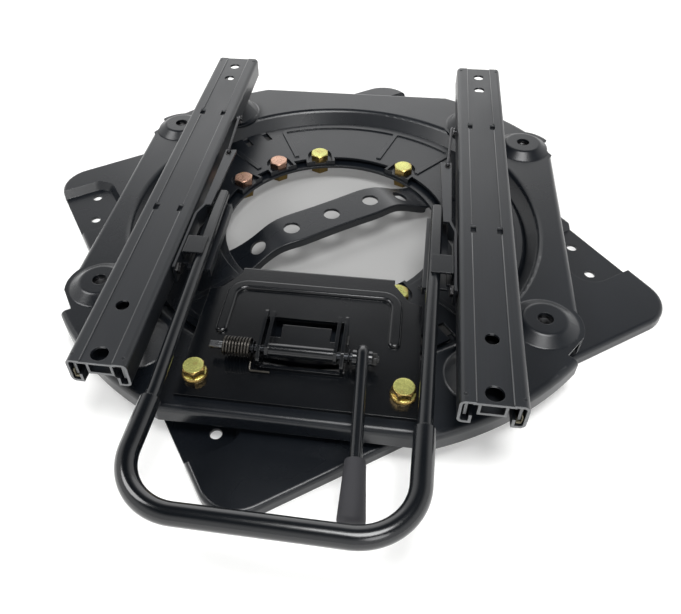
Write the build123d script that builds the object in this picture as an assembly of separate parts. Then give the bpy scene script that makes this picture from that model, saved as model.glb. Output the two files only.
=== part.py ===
from build123d import *
import math
import os

os.makedirs("parts", exist_ok=True)

# Swivel seat base with slide rails. All lengths are millimetres.
# Origin: swivel axis at the level of the bolt faces. +Y points to the rear, +X to the right, +Z up.

# Clearances
running_gap = 0.3
tube_fit = 0.1
bolt_gap = 0.3

# Base plate, in its own frame that is turned against the rails
base_turn = 36.5
base_width = 408.0
base_length = 439.0
base_middle = (-3.8, -5.0)
plate_turn = -0.8
base_height = 10.0
base_corner_radius = 30.0
base_edge_radius = 3.0
sheet = 2.5
centre_opening_radius = 98.0
hub_radius = 124.0
hub_height = 15.5
hub_slope = 5.0
track_inner_radius = 140.0
track_inset = 2.5
track_rise = 2.0
track_slope = 2.0

# Lower pads beside the four ears, with two bolt holes each
pad_middle = (-2.7, 8.2)
pad_near_end = 107.0
pad_far_end = 174.0
pad_inner_side = 161.0
pad_corner_radius = 13.0
pad_slope = 6.0
pad_run_out = 40.0
base_hole_radius = 4.5
outer_hole_across = 176.0
outer_hole_along = 161.5
inner_hole_across = 187.0
inner_hole_along = 127.0

# Lock ring
ring_outer_radius = 170.5
ring_edge_radius = 106.0
ring_pocket_radius = 12.0
ring_pocket_reach = 1.5
ring_bolt_circle = 110.0
ring_bolt_angles = (20.0, 67.0, 90.0, 113.0, 200.0, 247.0, 270.0)
notch_angles = (90.0, 270.0)
notch_spacing = 22.0
notch_width = 6.0
notch_depth = 17.0
rib_width = 4.5
rib_height = 1.2
rib_inset = 7.5
rib_corner_radius = 4.0
rib_inner_radius = 110.0
rib_arcs = ((12.5, 35.5), (35.5, 79.0), (101.0, 144.5), (144.5, 167.5))

# Slide rings above and below the turntable lip
slide_ring_thickness = 2.4
top_ring_thickness = 0.8
slide_ring_inner = 143.0
slide_ring_inset = 3.0

# Turntable plate
deck_height = 31.0
deck_half_width = 205.0
deck_front_radius = 250.0
deck_rear_radius = 244.5
deck_front = 231.0
deck_rear = 222.5
deck_skirt = 15.0
deck_edge_radius = 5.0
dish_floor_gap = 1.5
dish_wall_run = 11.0
dish_bend_radius = 6.5
dish_rim = 6.0
lip_inner_radius = 134.0
notch_corner_width = 9.0
notch_corner_length = 26.0

# Four outer bosses with welded nuts
seat_nut_x = 177.0
seat_nut_rear = 128.0
seat_nut_front = 117.0
boss_edge_radius = 5.0
boss_foot = 4.0
outer_boss_radius = 26.0
outer_boss_top = 16.5
outer_boss_height = 6.0
outer_boss_hole = 6.0
weld_nut_bore = 4.25
weld_nut_flats = 17.0
weld_nut_height = 8.0

# Slide rails
rail_spacing = 260.0
rail_width = 43.3
rail_height = 22.0
rail_top = 71.0
rail_front = 228.9
rail_rear = 211.3
rail_sheet = 2.0
rail_corner_radius = 4.0
rail_lip_gap = 25.0
rail_lip_height = 8.0
rail_groove_x = 11.5
rail_groove_depth = 0.6
rail_hole_radius = 5.0
rail_front_hole_radius = 6.3
rail_holes = (193.0, 166.5, -174.0)
rail_front_hole = -220.2
stop_slot_positions = (96.0, -58.3)
stop_slot_x = 10.3
stop_slot_width = 4.5
stop_slot_length = 9.0
dimple_radius = 1.3
dimple_depth = 0.6
dimple_inset = 3.6
dimple_from_end = 6.0

# Lower rail: hat section inside the upper rail
lower_channel_width = 19.0
lower_rail_gap = 0.6
lower_rail_floor = 55.0
lower_flange_width = 36.0
lower_flange_drop = 13.8
lower_rail_front = 226.0
lower_rail_rear = 188.0
lock_notch_pitch = 10.0
lock_notch_width = 5.0
lock_notch_height = 4.5
lock_notch_start = -172.0
lock_notch_count = 23

# Slide shoes on the lower rail
shoe_length = 30.0
shoe_positions = (-110.0, 95.0)
tooth_way = 59.5

# Bosses, spacers and bolts that carry the lower rails
rail_boss_positions = (166.5, -174.0)
rail_boss_radius = 28.0
rail_boss_top_radius = 14.5
rail_boss_height = 15.0
rail_spacer_radius = 11.0
rail_bolt_radius = 4.0
rail_bolt_flats = 13.0
rail_bolt_head = 5.3
rail_nut_height = 6.5

# Hexagon bolts of the lock ring
ring_bolt_radius = 5.0
ring_bolt_flats = 16.5
ring_bolt_head = 6.5
ring_nut_height = 8.0
ring_bolt_tail = 1.5

# Cable strap across the opening
strap_height = 30.0
strap_flat_half = 57.0
strap_slope_end = 93.0
strap_end = 118.0
strap_half_width = 20.0
strap_end_half_width = 15.5
strap_flange = 8.0
strap_hole_radius = 7.5
strap_hole_pitch = 41.0
strap_end_hole = 75.0

# Latch plate
latch_sheet = 3.0
latch_half_width = 85.0
latch_front = 220.0
latch_shoulder = 113.0
latch_tongue_half = 62.5
latch_tongue_rear = 84.0
latch_tongue_flange = 6.0
latch_bead_width = 9.5
latch_bead_height = 3.0
latch_bead_edge = 2.4
latch_bead_half = 65.5
latch_bead_rear = 106.5
latch_bead_front = 155.0
latch_bead_corner = 12.0
latch_bolt_x = 74.5
latch_bolt_y = -200.0
window_before_pivot = 6.0
window_behind_pivot = 42.0
flange_bolt_radius = 4.0
flange_bolt_flats = 13.0
flange_bolt_head = 7.5
flange_bolt_flange_radius = 9.0
flange_bolt_flange = 1.8

# Release mechanism
latch_centre_x = 0.0
pivot_from_ring = 9.5
pivot_z = 44.0
pivot_radius = 3.0
pivot_left = -67.0
pivot_right = 54.6
bracket_half = 30.0
bracket_sheet = 2.5
bracket_wall = 3.0
ear_top = 52.0
ear_behind_pivot = 34.0
ear_before_pivot = 11.0
ear_corner = 3.0
pawl_half = 26.0
pawl_web_half = 18.5
step_behind_pivot = 18.0
pawl_sheet = 2.5
pawl_tube_radius = 5.0
pawl_reach = 22.5
tooth_gap = 0.6
tooth_from_edge = 9.0
tooth_thickness = 3.0
tooth_width = 5.0
spring_left = -56.5
spring_turns = 9.0
spring_pitch = 2.25
spring_wire_radius = 0.95
spring_mean_radius = 6.5
spring_leg_length = 8.0
spring_leg_reach = 13.6
spring_leg_end = -21.0

# Release lever and grip
lever_x = 44.0
lever_radius = 4.25
lever_hub_radius = 5.8
lever_hub_length = 14.0
lever_foot_shift = 5.0
lever_bend_z = 52.0
lever_bend_radius = 7.0
grip_start_y = -263.0
grip_end_y = -305.0
lever_end_z = 40.0
grip_start_radius = 6.8
grip_end_radius = 9.0
grip_side_shift = 4.5

# Towel-bar handle
handle_z = 61.0
handle_tube_radius = 7.0
handle_front = 322.0
handle_left = -90.5
handle_right = 86.5
handle_corner = 38.0
handle_socket_y = -246.0
handle_wall = 1.8
leg_radius = 5.0
leg_rear_x = 92.2
leg_front_x = 88.2
leg_rear = -22.0
leg_overlap = 14.0
leg_bend_length = 8.0
leg_bend_radius = 60.0
leg_flat = 1.2
leg_flat_length = 70.0

# Lock levers, hinged on the inner walls of the upper rails
hinge_y = -120.0
hinge_z = 60.0
hinge_pin_radius = 3.0
hinge_head_radius = 4.5
hinge_head = 2.2
lock_lever_sheet = 2.0
lock_lever_gap = 1.0
lock_lever_jog = 4.3
lock_lever_top = 68.0
lock_lever_rear = 36.0
lock_lever_front = -127.0
lock_lever_arm_height = 10.0
lock_lever_front_height = 16.0
jog_rear = -48.0
jog_front = -60.0
arm_rear_width = 10.0
arm_front_width = 6.5
tooth_positions = (-72.0, -62.0, -52.0)
comb_z = 56.6
comb_margin = 6.0
cradle_front = -112.0
cradle_rear = -27.0
cradle_tie_front = -109.0
cradle_tie_rear = -89.0
cradle_flange = 7.5
window_margin = 8.0
window_top = 61.0

# Clips that hold the legs in the lock levers
clip_front = -109.0
clip_rear = -89.0
clip_sheet = 1.8
clip_inner = 88.0

# Wire springs behind the lock levers
wire_radius = 1.25
wire_eye_y = 31.0
wire_anchor_y = 98.0
wire_anchor_z = 62.0
wire_run_z = 70.0
eye_from_edge = 3.6
eye_half_width = 1.8
eye_half_length = 3.4

# Levels that follow from the stack
track_top = base_height + track_rise
lower_ring_top = track_top + slide_ring_thickness
lip_bottom = lower_ring_top + running_gap
lip_top = lip_bottom + sheet
top_ring_top = lip_top + top_ring_thickness
ring_bottom = top_ring_top + running_gap
ring_top = ring_bottom + sheet
pocket_top = hub_height + sheet
deck_bottom = deck_height - sheet
skirt_bottom = deck_height - deck_skirt
latch_bottom = deck_height
latch_top = latch_bottom + latch_sheet
rail_bottom = rail_top - rail_height
rail_boss_top = deck_height + rail_boss_height
rail_inner_half = rail_width / 2 - rail_sheet
rail_web_bottom = rail_top - rail_sheet
strip_bottom = rail_web_bottom - rail_groove_depth
lower_rail_top = strip_bottom - lower_rail_gap
lower_leg_bottom = lower_rail_top - lower_flange_drop
wall_x = rail_spacing / 2 - rail_width / 2
track_outer_radius = ring_outer_radius - track_inset
slide_ring_outer = track_outer_radius - slide_ring_inset
rib_circle = ring_outer_radius - rib_inset
dish_floor_radius = ring_outer_radius + dish_floor_gap
dish_top_radius = dish_floor_radius + dish_wall_run
pivot_y = -(ring_outer_radius + pivot_from_ring)
tooth_y = -(ring_outer_radius - tooth_from_edge)
pawl_rear = ring_outer_radius - pawl_reach
pawl_web_step = -pivot_y - step_behind_pivot
ear_rear = -pivot_y - ear_behind_pivot
ear_front = -pivot_y + ear_before_pivot
latch_window_front = -pivot_y + window_before_pivot
latch_window_rear = -pivot_y - window_behind_pivot
spring_leg_y = pivot_y - spring_leg_reach


def block(low, high):
    """Box between two corner points."""
    size = [b - a for a, b in zip(low, high)]
    middle = [(a + b) / 2 for a, b in zip(low, high)]
    return Pos(*middle) * Box(*size)


def slab(sketch, low, high):
    """Flat outline pulled up from one level to another."""
    return Pos(0, 0, low) * extrude(sketch, amount=high - low)


def turned(points):
    """Round body from a closed outline of (radius, height) points."""
    outline = Polyline(*[(r, 0, z) for r, z in points], close=True)
    return revolve(make_face(outline), axis=Axis.Z)


def side_slab(points, x_low, x_high):
    """Outline of (y, z) points pulled along X."""
    outline = Polyline(*[(x_low, y, z) for y, z in points], close=True)
    return extrude(make_face(outline), amount=x_high - x_low, dir=(1, 0, 0))


def bar_x(radius, x_low, x_high, y, z):
    """Round bar along X."""
    return Pos((x_low + x_high) / 2, y, z) * Rot(0, 90, 0) * Cylinder(radius, x_high - x_low)


def bar_z(radius, x, y, z_low, z_high):
    """Round bar along Z."""
    return Pos(x, y, (z_low + z_high) / 2) * Cylinder(radius, z_high - z_low)


def polar(radius, degrees):
    """Point on a circle about the swivel axis."""
    return radius * math.cos(math.radians(degrees)), radius * math.sin(math.radians(degrees))


def in_base_frame(shape):
    """Turn a shape from the base plate's own frame into the model's frame."""
    return Rot(0, 0, base_turn) * shape


def both_sides(shape):
    """Shape with its mirror image across the middle plane."""
    return [shape, shape.mirror(Plane.YZ)]


def save(name, shapes):
    """Write one named sub-part, as one or more separate solids."""
    shapes = shapes if isinstance(shapes, list) else [shapes]
    solids = [solid for shape in shapes for solid in shape.solids()]
    export_step(Compound(children=solids) if len(solids) > 1 else solids[0], f"parts/{name}.step")


def hexagon(flats, height, chamfer=1.0):
    """Hexagon prism with its upper corners turned off."""
    prism = extrude(RegularPolygon(flats / 2, 6, major_radius=False), amount=height)
    corner = flats / math.sqrt(3)
    turned_top = turned(((0, 0), (corner, 0), (corner, height - chamfer), (flats / 2 - 0.5, height), (0, height)))
    return prism & turned_top


def bolt(flats, head, radius, length, flange_radius=0.0, flange=0.0):
    """Hexagon bolt with its seat at the origin and its shank pointing down."""
    whole = Pos(0, 0, flange) * hexagon(flats, head - flange) + bar_z(radius, 0, 0, -length, flange)
    if flange:
        whole += turned(((0, 0), (flange_radius, 0), (flange_radius, flange * 0.5), (flats / 2, flange), (0, flange)))
    return whole


def nut(flats, height, bore):
    """Hexagon nut that hangs below the origin."""
    return Pos(0, 0, -height) * hexagon(flats, height) - bar_z(bore, 0, 0, -height, 0)


def rounded_turn(points, corners):
    """Round body from a (radius, height) outline, with radii at chosen (radius, height) corners."""
    face = make_face(Polyline(*[(r, 0, z) for r, z in points], close=True))
    for r, z, radius in corners:
        face = fillet(min(face.vertices(), key=lambda v: math.hypot(v.X - r, v.Z - z)), radius)
    return revolve(face, axis=Axis.Z)


def boss_sheet(base_radius, top_radius, height, bore):
    """Pressed-up round boss with soft edges, as sheet that joins the deck at its foot."""
    slope = math.atan2(height, base_radius - top_radius)
    shift = sheet * math.tan(slope / 2)
    top = deck_height + height
    points = (
        (bore, top), (top_radius, top), (base_radius, deck_height), (base_radius + boss_foot, deck_height),
        (base_radius + boss_foot, deck_bottom), (base_radius - shift, deck_bottom), (top_radius - shift, top - sheet),
        (bore, top - sheet),
    )
    corners = (
        (top_radius, top, boss_edge_radius), (base_radius, deck_height, boss_edge_radius - sheet),
        (base_radius - shift, deck_bottom, boss_edge_radius), (top_radius - shift, top - sheet, boss_edge_radius - sheet),
    )
    return rounded_turn(points, corners)


# Base plate

def pad_outline(grow):
    """The four pads in plan, reaching past the long edges."""
    depth = base_width / 2 - pad_inner_side + pad_run_out
    length = pad_far_end - pad_near_end
    pad = RectangleRounded(depth + 2 * grow, length + 2 * grow, pad_corner_radius + grow)
    x = pad_inner_side + depth / 2
    y = (pad_near_end + pad_far_end) / 2
    return [Rot(0, 0, plate_turn) * Pos(pad_middle[0] + sx * x, pad_middle[1] + sy * y) * pad
            for sx in (-1, 1) for sy in (-1, 1)]


def base_hole_points():
    """Bolt holes in the pads, two in each."""
    middle_x, middle_y = pad_middle
    return [turned_point(middle_x + sx * across, middle_y + sy * along)
            for across, along in ((outer_hole_across, outer_hole_along), (inner_hole_across, inner_hole_along))
            for sx in (-1, 1) for sy in (-1, 1)]


def turned_point(x, y):
    """A point of the plate's own outline, in the base frame."""
    angle = math.radians(plate_turn)
    return x * math.cos(angle) - y * math.sin(angle), x * math.sin(angle) + y * math.cos(angle)


def base_form(inset):
    """Outer form of the base plate, or its inner form when inset by the sheet."""
    top = base_height - inset
    bottom = 0.0 if inset == 0 else -1.0
    outline = RectangleRounded(base_width - 2 * inset, base_length - 2 * inset, base_corner_radius - inset)
    outline = Rot(0, 0, plate_turn) * Pos(*base_middle) * outline
    form = slab(outline, bottom, top)
    form = fillet(form.edges().group_by(Axis.Z)[-1], base_edge_radius - inset + 0.5)
    pad_top = sheet - inset
    for pad in pad_outline(inset):
        low = max(pad_top, bottom)
        form -= Pos(0, 0, low) * extrude(pad, amount=top - low + 1, taper=-math.degrees(math.atan2(pad_slope, top)))
    rise = hub_height - inset
    form += turned(((0, top - 1), (hub_radius + hub_slope - inset, top - 1), (hub_radius - inset, rise), (0, rise)))
    form += turned((
        (track_inner_radius - track_slope + inset, top - 1), (track_inner_radius + inset, top + track_rise),
        (track_outer_radius - inset, top + track_rise), (track_outer_radius + track_slope - inset, top - 1),
    ))
    return form


def make_base_plate():
    plate = base_form(0.0) - base_form(sheet)
    plate -= bar_z(centre_opening_radius, 0, 0, -1, hub_height + 1)
    for x, y in base_hole_points():
        plate -= bar_z(base_hole_radius, x, y, -1, base_height)
    for x, y in ring_bolt_points():
        plate -= bar_z(ring_bolt_radius + bolt_gap, x, y, -1, hub_height + 1)
    return plate


# Lock ring

def ring_bolt_points():
    """Bolt places on the ring's circle."""
    return [polar(ring_bolt_circle, angle) for angle in ring_bolt_angles]


def pocket_outline(angle, grow):
    """One bolt pocket in plan, open towards the centre."""
    round_end = Pos(ring_bolt_circle, 0) * Circle(ring_pocket_radius + grow)
    inner = centre_opening_radius + ring_pocket_reach - grow
    length = ring_bolt_circle - inner
    flank = Pos(inner + length / 2, 0) * Rectangle(length, 2 * (ring_pocket_radius + grow))
    return Rot(0, 0, angle) * (round_end + flank)


def make_lock_ring():
    edge = centre_opening_radius + ring_pocket_reach
    ring = slab(Circle(ring_outer_radius) - Circle(edge), hub_height, ring_top)
    pockets = pocket_outline(ring_bolt_angles[0], 0)
    shells = pocket_outline(ring_bolt_angles[0], sheet)
    for angle in ring_bolt_angles[1:]:
        pockets += pocket_outline(angle, 0)
        shells += pocket_outline(angle, sheet)
    ring -= slab(pockets, pocket_top, ring_top + 1)
    ring -= slab(Circle(ring_outer_radius + 1) - shells, hub_height - 1, ring_bottom)
    ring -= slab(Circle(ring_edge_radius) - shells, hub_height - 1, ring_top + 1)
    for x, y in ring_bolt_points():
        ring -= bar_z(ring_bolt_radius + bolt_gap, x, y, hub_height - 1, ring_top + 1)
    for angle in notch_angles:
        for side in (-1, 1):
            cut = block((ring_outer_radius - notch_depth, -notch_width / 2, ring_bottom - 1),
                        (ring_outer_radius + 1, notch_width / 2, ring_top + 1))
            ring -= Rot(0, 0, angle) * Pos(0, side * notch_spacing / 2, 0) * cut
    for rib in ring_ribs():
        ring += rib
    return ring


def ring_ribs():
    """Raised ribs: an arc between two radial bars for each sector of the ring."""
    ribs = []
    half_rib = rib_width / 2
    for start, end in rib_arcs:
        wedge = Polygon((0, 0), polar(2 * rib_circle, start), polar(2 * rib_circle, end), align=None)
        sector = (Circle(rib_circle) - Circle(rib_inner_radius)) & wedge
        corners = [v for v in sector.vertices() if math.hypot(v.X, v.Y) > rib_circle - 1]
        sector = fillet(corners, rib_corner_radius)
        rib = offset(sector, amount=half_rib) - offset(sector, amount=-half_rib) - Circle(rib_inner_radius + half_rib)
        ribs.extend(slab(Rot(0, 0, half) * rib, ring_top - 0.5, ring_top + rib_height) for half in (0, 180))
    return ribs


def make_slide_ring(low, high):
    return slab(Circle(slide_ring_outer) - Circle(slide_ring_inner), low, high)


# Cable strap

def make_cable_strap():
    top = ((-strap_end, hub_height - sheet), (-strap_slope_end, hub_height - sheet),
           (-strap_flat_half, strap_height), (strap_flat_half, strap_height),
           (strap_slope_end, hub_height - sheet), (strap_end, hub_height - sheet))
    under = [(x, z - sheet) for x, z in reversed(top)]
    skirt = [(x, z - strap_flange) for x, z in reversed(top)]
    reach = strap_half_width + 1
    sheet_body = side_profile(list(top) + under, reach)
    skirt_body = side_profile(list(top) + skirt, reach)
    outline = strap_outline(0)
    inner = strap_outline(sheet)
    strap = (sheet_body & slab(outline, 0, strap_height + 1)) + (skirt_body & slab(outline - inner, 0, strap_height + 1))
    for place in (-strap_hole_pitch, 0, strap_hole_pitch):
        strap -= bar_z(strap_hole_radius, place, 0, 0, strap_height + 1)
    slope = math.degrees(math.atan2(strap_height - hub_height + sheet, strap_slope_end - strap_flat_half))
    share = (strap_end_hole - strap_flat_half) / (strap_slope_end - strap_flat_half)
    level = strap_height - share * (strap_height - hub_height + sheet)
    for side in (-1, 1):
        hole = Cylinder(strap_hole_radius, 12)
        strap -= Pos(side * strap_end_hole, 0, level) * Rot(0, side * slope, 0) * hole
    return strap


def side_profile(points, reach):
    """Closed (x, z) outline pulled to both sides along Y."""
    outline = Polyline(*[(x, -reach, z) for x, z in points], close=True)
    return extrude(make_face(outline), amount=2 * reach, dir=(0, 1, 0))


def strap_outline(inset):
    """Plan outline of the strap, bowed out at its middle."""
    end = strap_end + (1 if inset else 0)
    wide = strap_half_width - inset
    narrow = strap_end_half_width - inset
    upper = ThreePointArc((-strap_end_hole, narrow), (0, wide), (strap_end_hole, narrow))
    lower = ThreePointArc((strap_end_hole, -narrow), (0, -wide), (-strap_end_hole, -narrow))
    right = Polyline((strap_end_hole, narrow), (end, narrow), (end, -narrow), (strap_end_hole, -narrow))
    left = Polyline((-strap_end_hole, -narrow), (-end, -narrow), (-end, narrow), (-strap_end_hole, narrow))
    return make_face([upper, right, lower, left])


# Turntable plate

def deck_outline():
    """Plan outline: round at the corners, straight at the four sides."""
    front = Circle(deck_front_radius) & (Pos(0, -deck_front / 2) * Rectangle(2 * deck_half_width, deck_front))
    rear = Circle(deck_rear_radius) & (Pos(0, deck_rear / 2) * Rectangle(2 * deck_half_width, deck_rear))
    return front + rear


def outer_boss_points():
    return [(side * seat_nut_x, y) for side in (-1, 1) for y in (seat_nut_rear, -seat_nut_front)]


def rail_boss_points():
    return [(side * rail_spacing / 2, y) for side in (-1, 1) for y in rail_boss_positions]


def make_turntable_plate():
    outline = deck_outline()
    outer = slab(outline, skirt_bottom, deck_height)
    outer = fillet(outer.edges().group_by(Axis.Z)[-1], deck_edge_radius)
    inner = slab(offset(outline, amount=-sheet), skirt_bottom - 1, deck_bottom)
    plate = outer - inner
    plate -= bar_z(dish_top_radius + dish_rim - 1, 0, 0, skirt_bottom - 1, deck_height + 1)
    plate += make_dish()
    for x, y in outer_boss_points():
        plate -= bar_z(outer_boss_radius + sheet, x, y, deck_bottom - 1, deck_height + 1)
        plate += Pos(x, y, 0) * boss_sheet(outer_boss_radius, outer_boss_top, outer_boss_height, outer_boss_hole)
    for x, y in rail_boss_points():
        plate -= bar_z(rail_boss_radius + sheet, x, y, deck_bottom - 1, deck_height + 1)
        plate += Pos(x, y, 0) * boss_sheet(rail_boss_radius, rail_boss_top_radius, rail_boss_height,
                                           rail_bolt_radius + bolt_gap)
    for x in (-latch_bolt_x, latch_bolt_x):
        plate -= bar_z(flange_bolt_radius + bolt_gap, x, latch_bolt_y, deck_bottom - 1, deck_height + 1)
    for radius, sign in ((deck_front_radius, -1), (deck_rear_radius, 1)):
        corner_y = sign * math.sqrt(radius ** 2 - deck_half_width ** 2)
        angle = math.degrees(math.atan2(corner_y, deck_half_width))
        for side in (0, 1):
            turn = angle if side == 0 else 180 - angle
            cut = block((radius - notch_corner_width, -notch_corner_length / 2, skirt_bottom - 1),
                        (radius + notch_corner_width, notch_corner_length / 2, deck_height + 1))
            shift = -sign * notch_corner_length * 0.1 * (1 if side == 0 else -1)
            plate -= Rot(0, 0, turn) * Pos(0, shift, 0) * cut
    return plate


def make_dish():
    """Conical wall and flat lip, pressed down from the deck."""
    slope = math.atan2(deck_height - lip_top, dish_top_radius - dish_floor_radius)
    shift = sheet * math.tan(slope / 2)
    upper = dish_top_radius + dish_rim
    points = ((lip_inner_radius, lip_top), (dish_floor_radius, lip_top), (dish_top_radius, deck_height),
              (upper, deck_height), (upper, deck_bottom), (dish_top_radius + shift, deck_bottom),
              (dish_floor_radius + shift, lip_bottom), (lip_inner_radius, lip_bottom))
    corners = ((dish_floor_radius, lip_top, dish_bend_radius - sheet), (dish_top_radius, deck_height, dish_bend_radius),
               (dish_floor_radius + shift, lip_bottom, dish_bend_radius),
               (dish_top_radius + shift, deck_bottom, dish_bend_radius - sheet))
    return rounded_turn(points, corners)


def make_seat_nuts():
    level = deck_height + outer_boss_height - sheet
    return [Pos(x, y, level) * nut(weld_nut_flats, weld_nut_height, weld_nut_bore) for x, y in outer_boss_points()]


# Rails, drawn about the rail's own middle line

def rail_place(side):
    return Pos(side * rail_spacing / 2, 0, 0)


def extrude_along_rail(face, front, rear):
    """Section in the XZ plane pulled from the front end to the rear end."""
    return Pos(0, front, 0) * extrude(face, amount=rear - front, dir=(0, 1, 0))


def section_rectangle(x_low, x_high, z_low, z_high, radius=0.0):
    width = x_high - x_low
    height = z_high - z_low
    shape = RectangleRounded(width, height, radius) if radius else Rectangle(width, height)
    return Plane.XZ * Pos((x_low + x_high) / 2, (z_low + z_high) / 2) * shape


def upper_rail_section():
    half = rail_width / 2
    lip_outer = rail_lip_gap / 2 + rail_sheet
    section = section_rectangle(-half, half, rail_bottom, rail_top, rail_corner_radius)
    section -= section_rectangle(-rail_inner_half, rail_inner_half, rail_bottom + rail_sheet, rail_web_bottom,
                                 rail_corner_radius - rail_sheet)
    section -= section_rectangle(-lip_outer, lip_outer, rail_bottom - 1, rail_bottom + 2 * rail_sheet)
    for side in (-1, 1):
        low, high = sorted((side * rail_lip_gap / 2, side * lip_outer))
        section += section_rectangle(low, high, rail_bottom, rail_bottom + rail_lip_height)
    groove = rail_groove_x
    section -= section_rectangle(-groove, groove, rail_top - rail_groove_depth, rail_top + 1)
    section += section_rectangle(-groove - rail_sheet, groove + rail_sheet, strip_bottom, rail_web_bottom)
    return section


def make_upper_rail(side):
    rail = extrude_along_rail(upper_rail_section(), -rail_front, rail_rear)
    for y in rail_holes:
        rail -= bar_z(rail_hole_radius, 0, y, strip_bottom - 1, rail_top + 1)
    rail -= bar_z(rail_front_hole_radius, 0, rail_front_hole, strip_bottom - 1, rail_top + 1)
    for y in stop_slot_positions:
        for x in (-stop_slot_x, stop_slot_x):
            rail -= block((x - stop_slot_width / 2, y - stop_slot_length / 2, strip_bottom - 1),
                          (x + stop_slot_width / 2, y + stop_slot_length / 2, rail_top + 1))
    for x in (dimple_inset - rail_width / 2, rail_width / 2 - dimple_inset):
        for y in (dimple_from_end - rail_front, rail_rear - dimple_from_end):
            rail -= bar_z(dimple_radius, x, y, rail_top - dimple_depth, rail_top + 1)
    inner = -side
    wall_low, wall_high = sorted((inner * (rail_lip_gap / 2 + rail_sheet), inner * (rail_width / 2 + 1)))
    rail -= block((wall_low, min(tooth_positions) - window_margin, rail_bottom - 1),
                  (wall_high, max(tooth_positions) + window_margin, window_top))
    wall = sorted((inner * (rail_inner_half - 1), inner * (rail_width / 2 + 1)))
    rail -= bar_x(hinge_pin_radius, wall[0], wall[1], hinge_y, hinge_z)
    rail -= bar_x(wire_radius + bolt_gap, wall[0], wall[1], wire_anchor_y, wire_anchor_z)
    return rail_place(side) * rail


def lower_rail_section():
    channel = lower_channel_width / 2
    flange = lower_flange_width / 2
    section = section_rectangle(-channel, channel, lower_rail_floor, lower_rail_top)
    section -= section_rectangle(rail_sheet - channel, channel - rail_sheet, lower_rail_floor + rail_sheet,
                                 lower_rail_top + 1)
    for side in (-1, 1):
        low, high = sorted((side * (channel - rail_sheet), side * flange))
        section += section_rectangle(low, high, lower_rail_top - rail_sheet, lower_rail_top)
        low, high = sorted((side * (flange - rail_sheet), side * flange))
        section += section_rectangle(low, high, lower_leg_bottom, lower_rail_top)
    return section


def make_lower_rail(side):
    rail = extrude_along_rail(lower_rail_section(), -lower_rail_front, lower_rail_rear)
    for y in rail_boss_positions:
        rail -= bar_z(rail_bolt_radius + bolt_gap, 0, y, lower_rail_floor - 1, lower_rail_floor + 2 * rail_sheet)
    low, high = sorted((-side * (lower_flange_width / 2 - rail_sheet - 0.5), -side * (lower_flange_width / 2 + 0.5)))
    for index in range(lock_notch_count):
        y = lock_notch_start + index * lock_notch_pitch
        rail -= block((low, y - lock_notch_width / 2, lower_leg_bottom - 1),
                      (high, y + lock_notch_width / 2, lower_leg_bottom + lock_notch_height))
    return rail_place(side) * rail


def make_slide_shoes(side):
    """Plastic shoes that wrap the lower rail's legs and run inside the upper rail."""
    leg_outer = lower_flange_width / 2
    leg_inner = leg_outer - rail_sheet
    out = rail_inner_half - running_gap
    top = rail_web_bottom - running_gap
    bottom = rail_bottom + rail_sheet + running_gap
    whole = section_rectangle(-out, out, bottom, top, rail_corner_radius - rail_sheet)
    whole -= section_rectangle(-leg_outer, leg_outer, lower_leg_bottom, lower_rail_top)
    shoes = []
    for flank in (-1, 1):
        section = whole & section_rectangle(*sorted((flank * leg_inner, flank * out)), bottom, top)
        for y in shoe_positions:
            shoe = extrude_along_rail(section, y - shoe_length / 2, y + shoe_length / 2)
            if flank == -side and y < 0:
                shoe -= block((min(0, flank * out), y - shoe_length, 0), (max(0, flank * out), y + shoe_length, tooth_way))
            shoes.append(rail_place(side) * shoe)
    return shoes


def make_rail_spacers():
    spacers = []
    for x, y in rail_boss_points():
        ring = bar_z(rail_spacer_radius, x, y, rail_boss_top, lower_rail_floor)
        spacers.append(ring - bar_z(rail_bolt_radius + bolt_gap, x, y, rail_boss_top, lower_rail_floor))
    return spacers


def make_rail_bolts():
    seat = lower_rail_floor + rail_sheet
    length = seat - (rail_boss_top - sheet) + rail_nut_height + ring_bolt_tail
    return [Pos(x, y, seat) * bolt(rail_bolt_flats, rail_bolt_head, rail_bolt_radius, length)
            for x, y in rail_boss_points()]


def make_rail_nuts():
    return [Pos(x, y, rail_boss_top - sheet) * nut(rail_bolt_flats, rail_nut_height, rail_bolt_radius)
            for x, y in rail_boss_points()]


# Fasteners of the lock ring

def make_ring_bolts():
    length = pocket_top - (hub_height - sheet) + ring_nut_height + ring_bolt_tail
    return [in_base_frame(Pos(x, y, pocket_top) * bolt(ring_bolt_flats, ring_bolt_head, ring_bolt_radius, length))
            for x, y in ring_bolt_points()]


def make_ring_nuts():
    return [in_base_frame(Pos(x, y, hub_height - sheet) * nut(ring_bolt_flats, ring_nut_height, ring_bolt_radius))
            for x, y in ring_bolt_points()]


# Latch plate and its bolts

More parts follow.
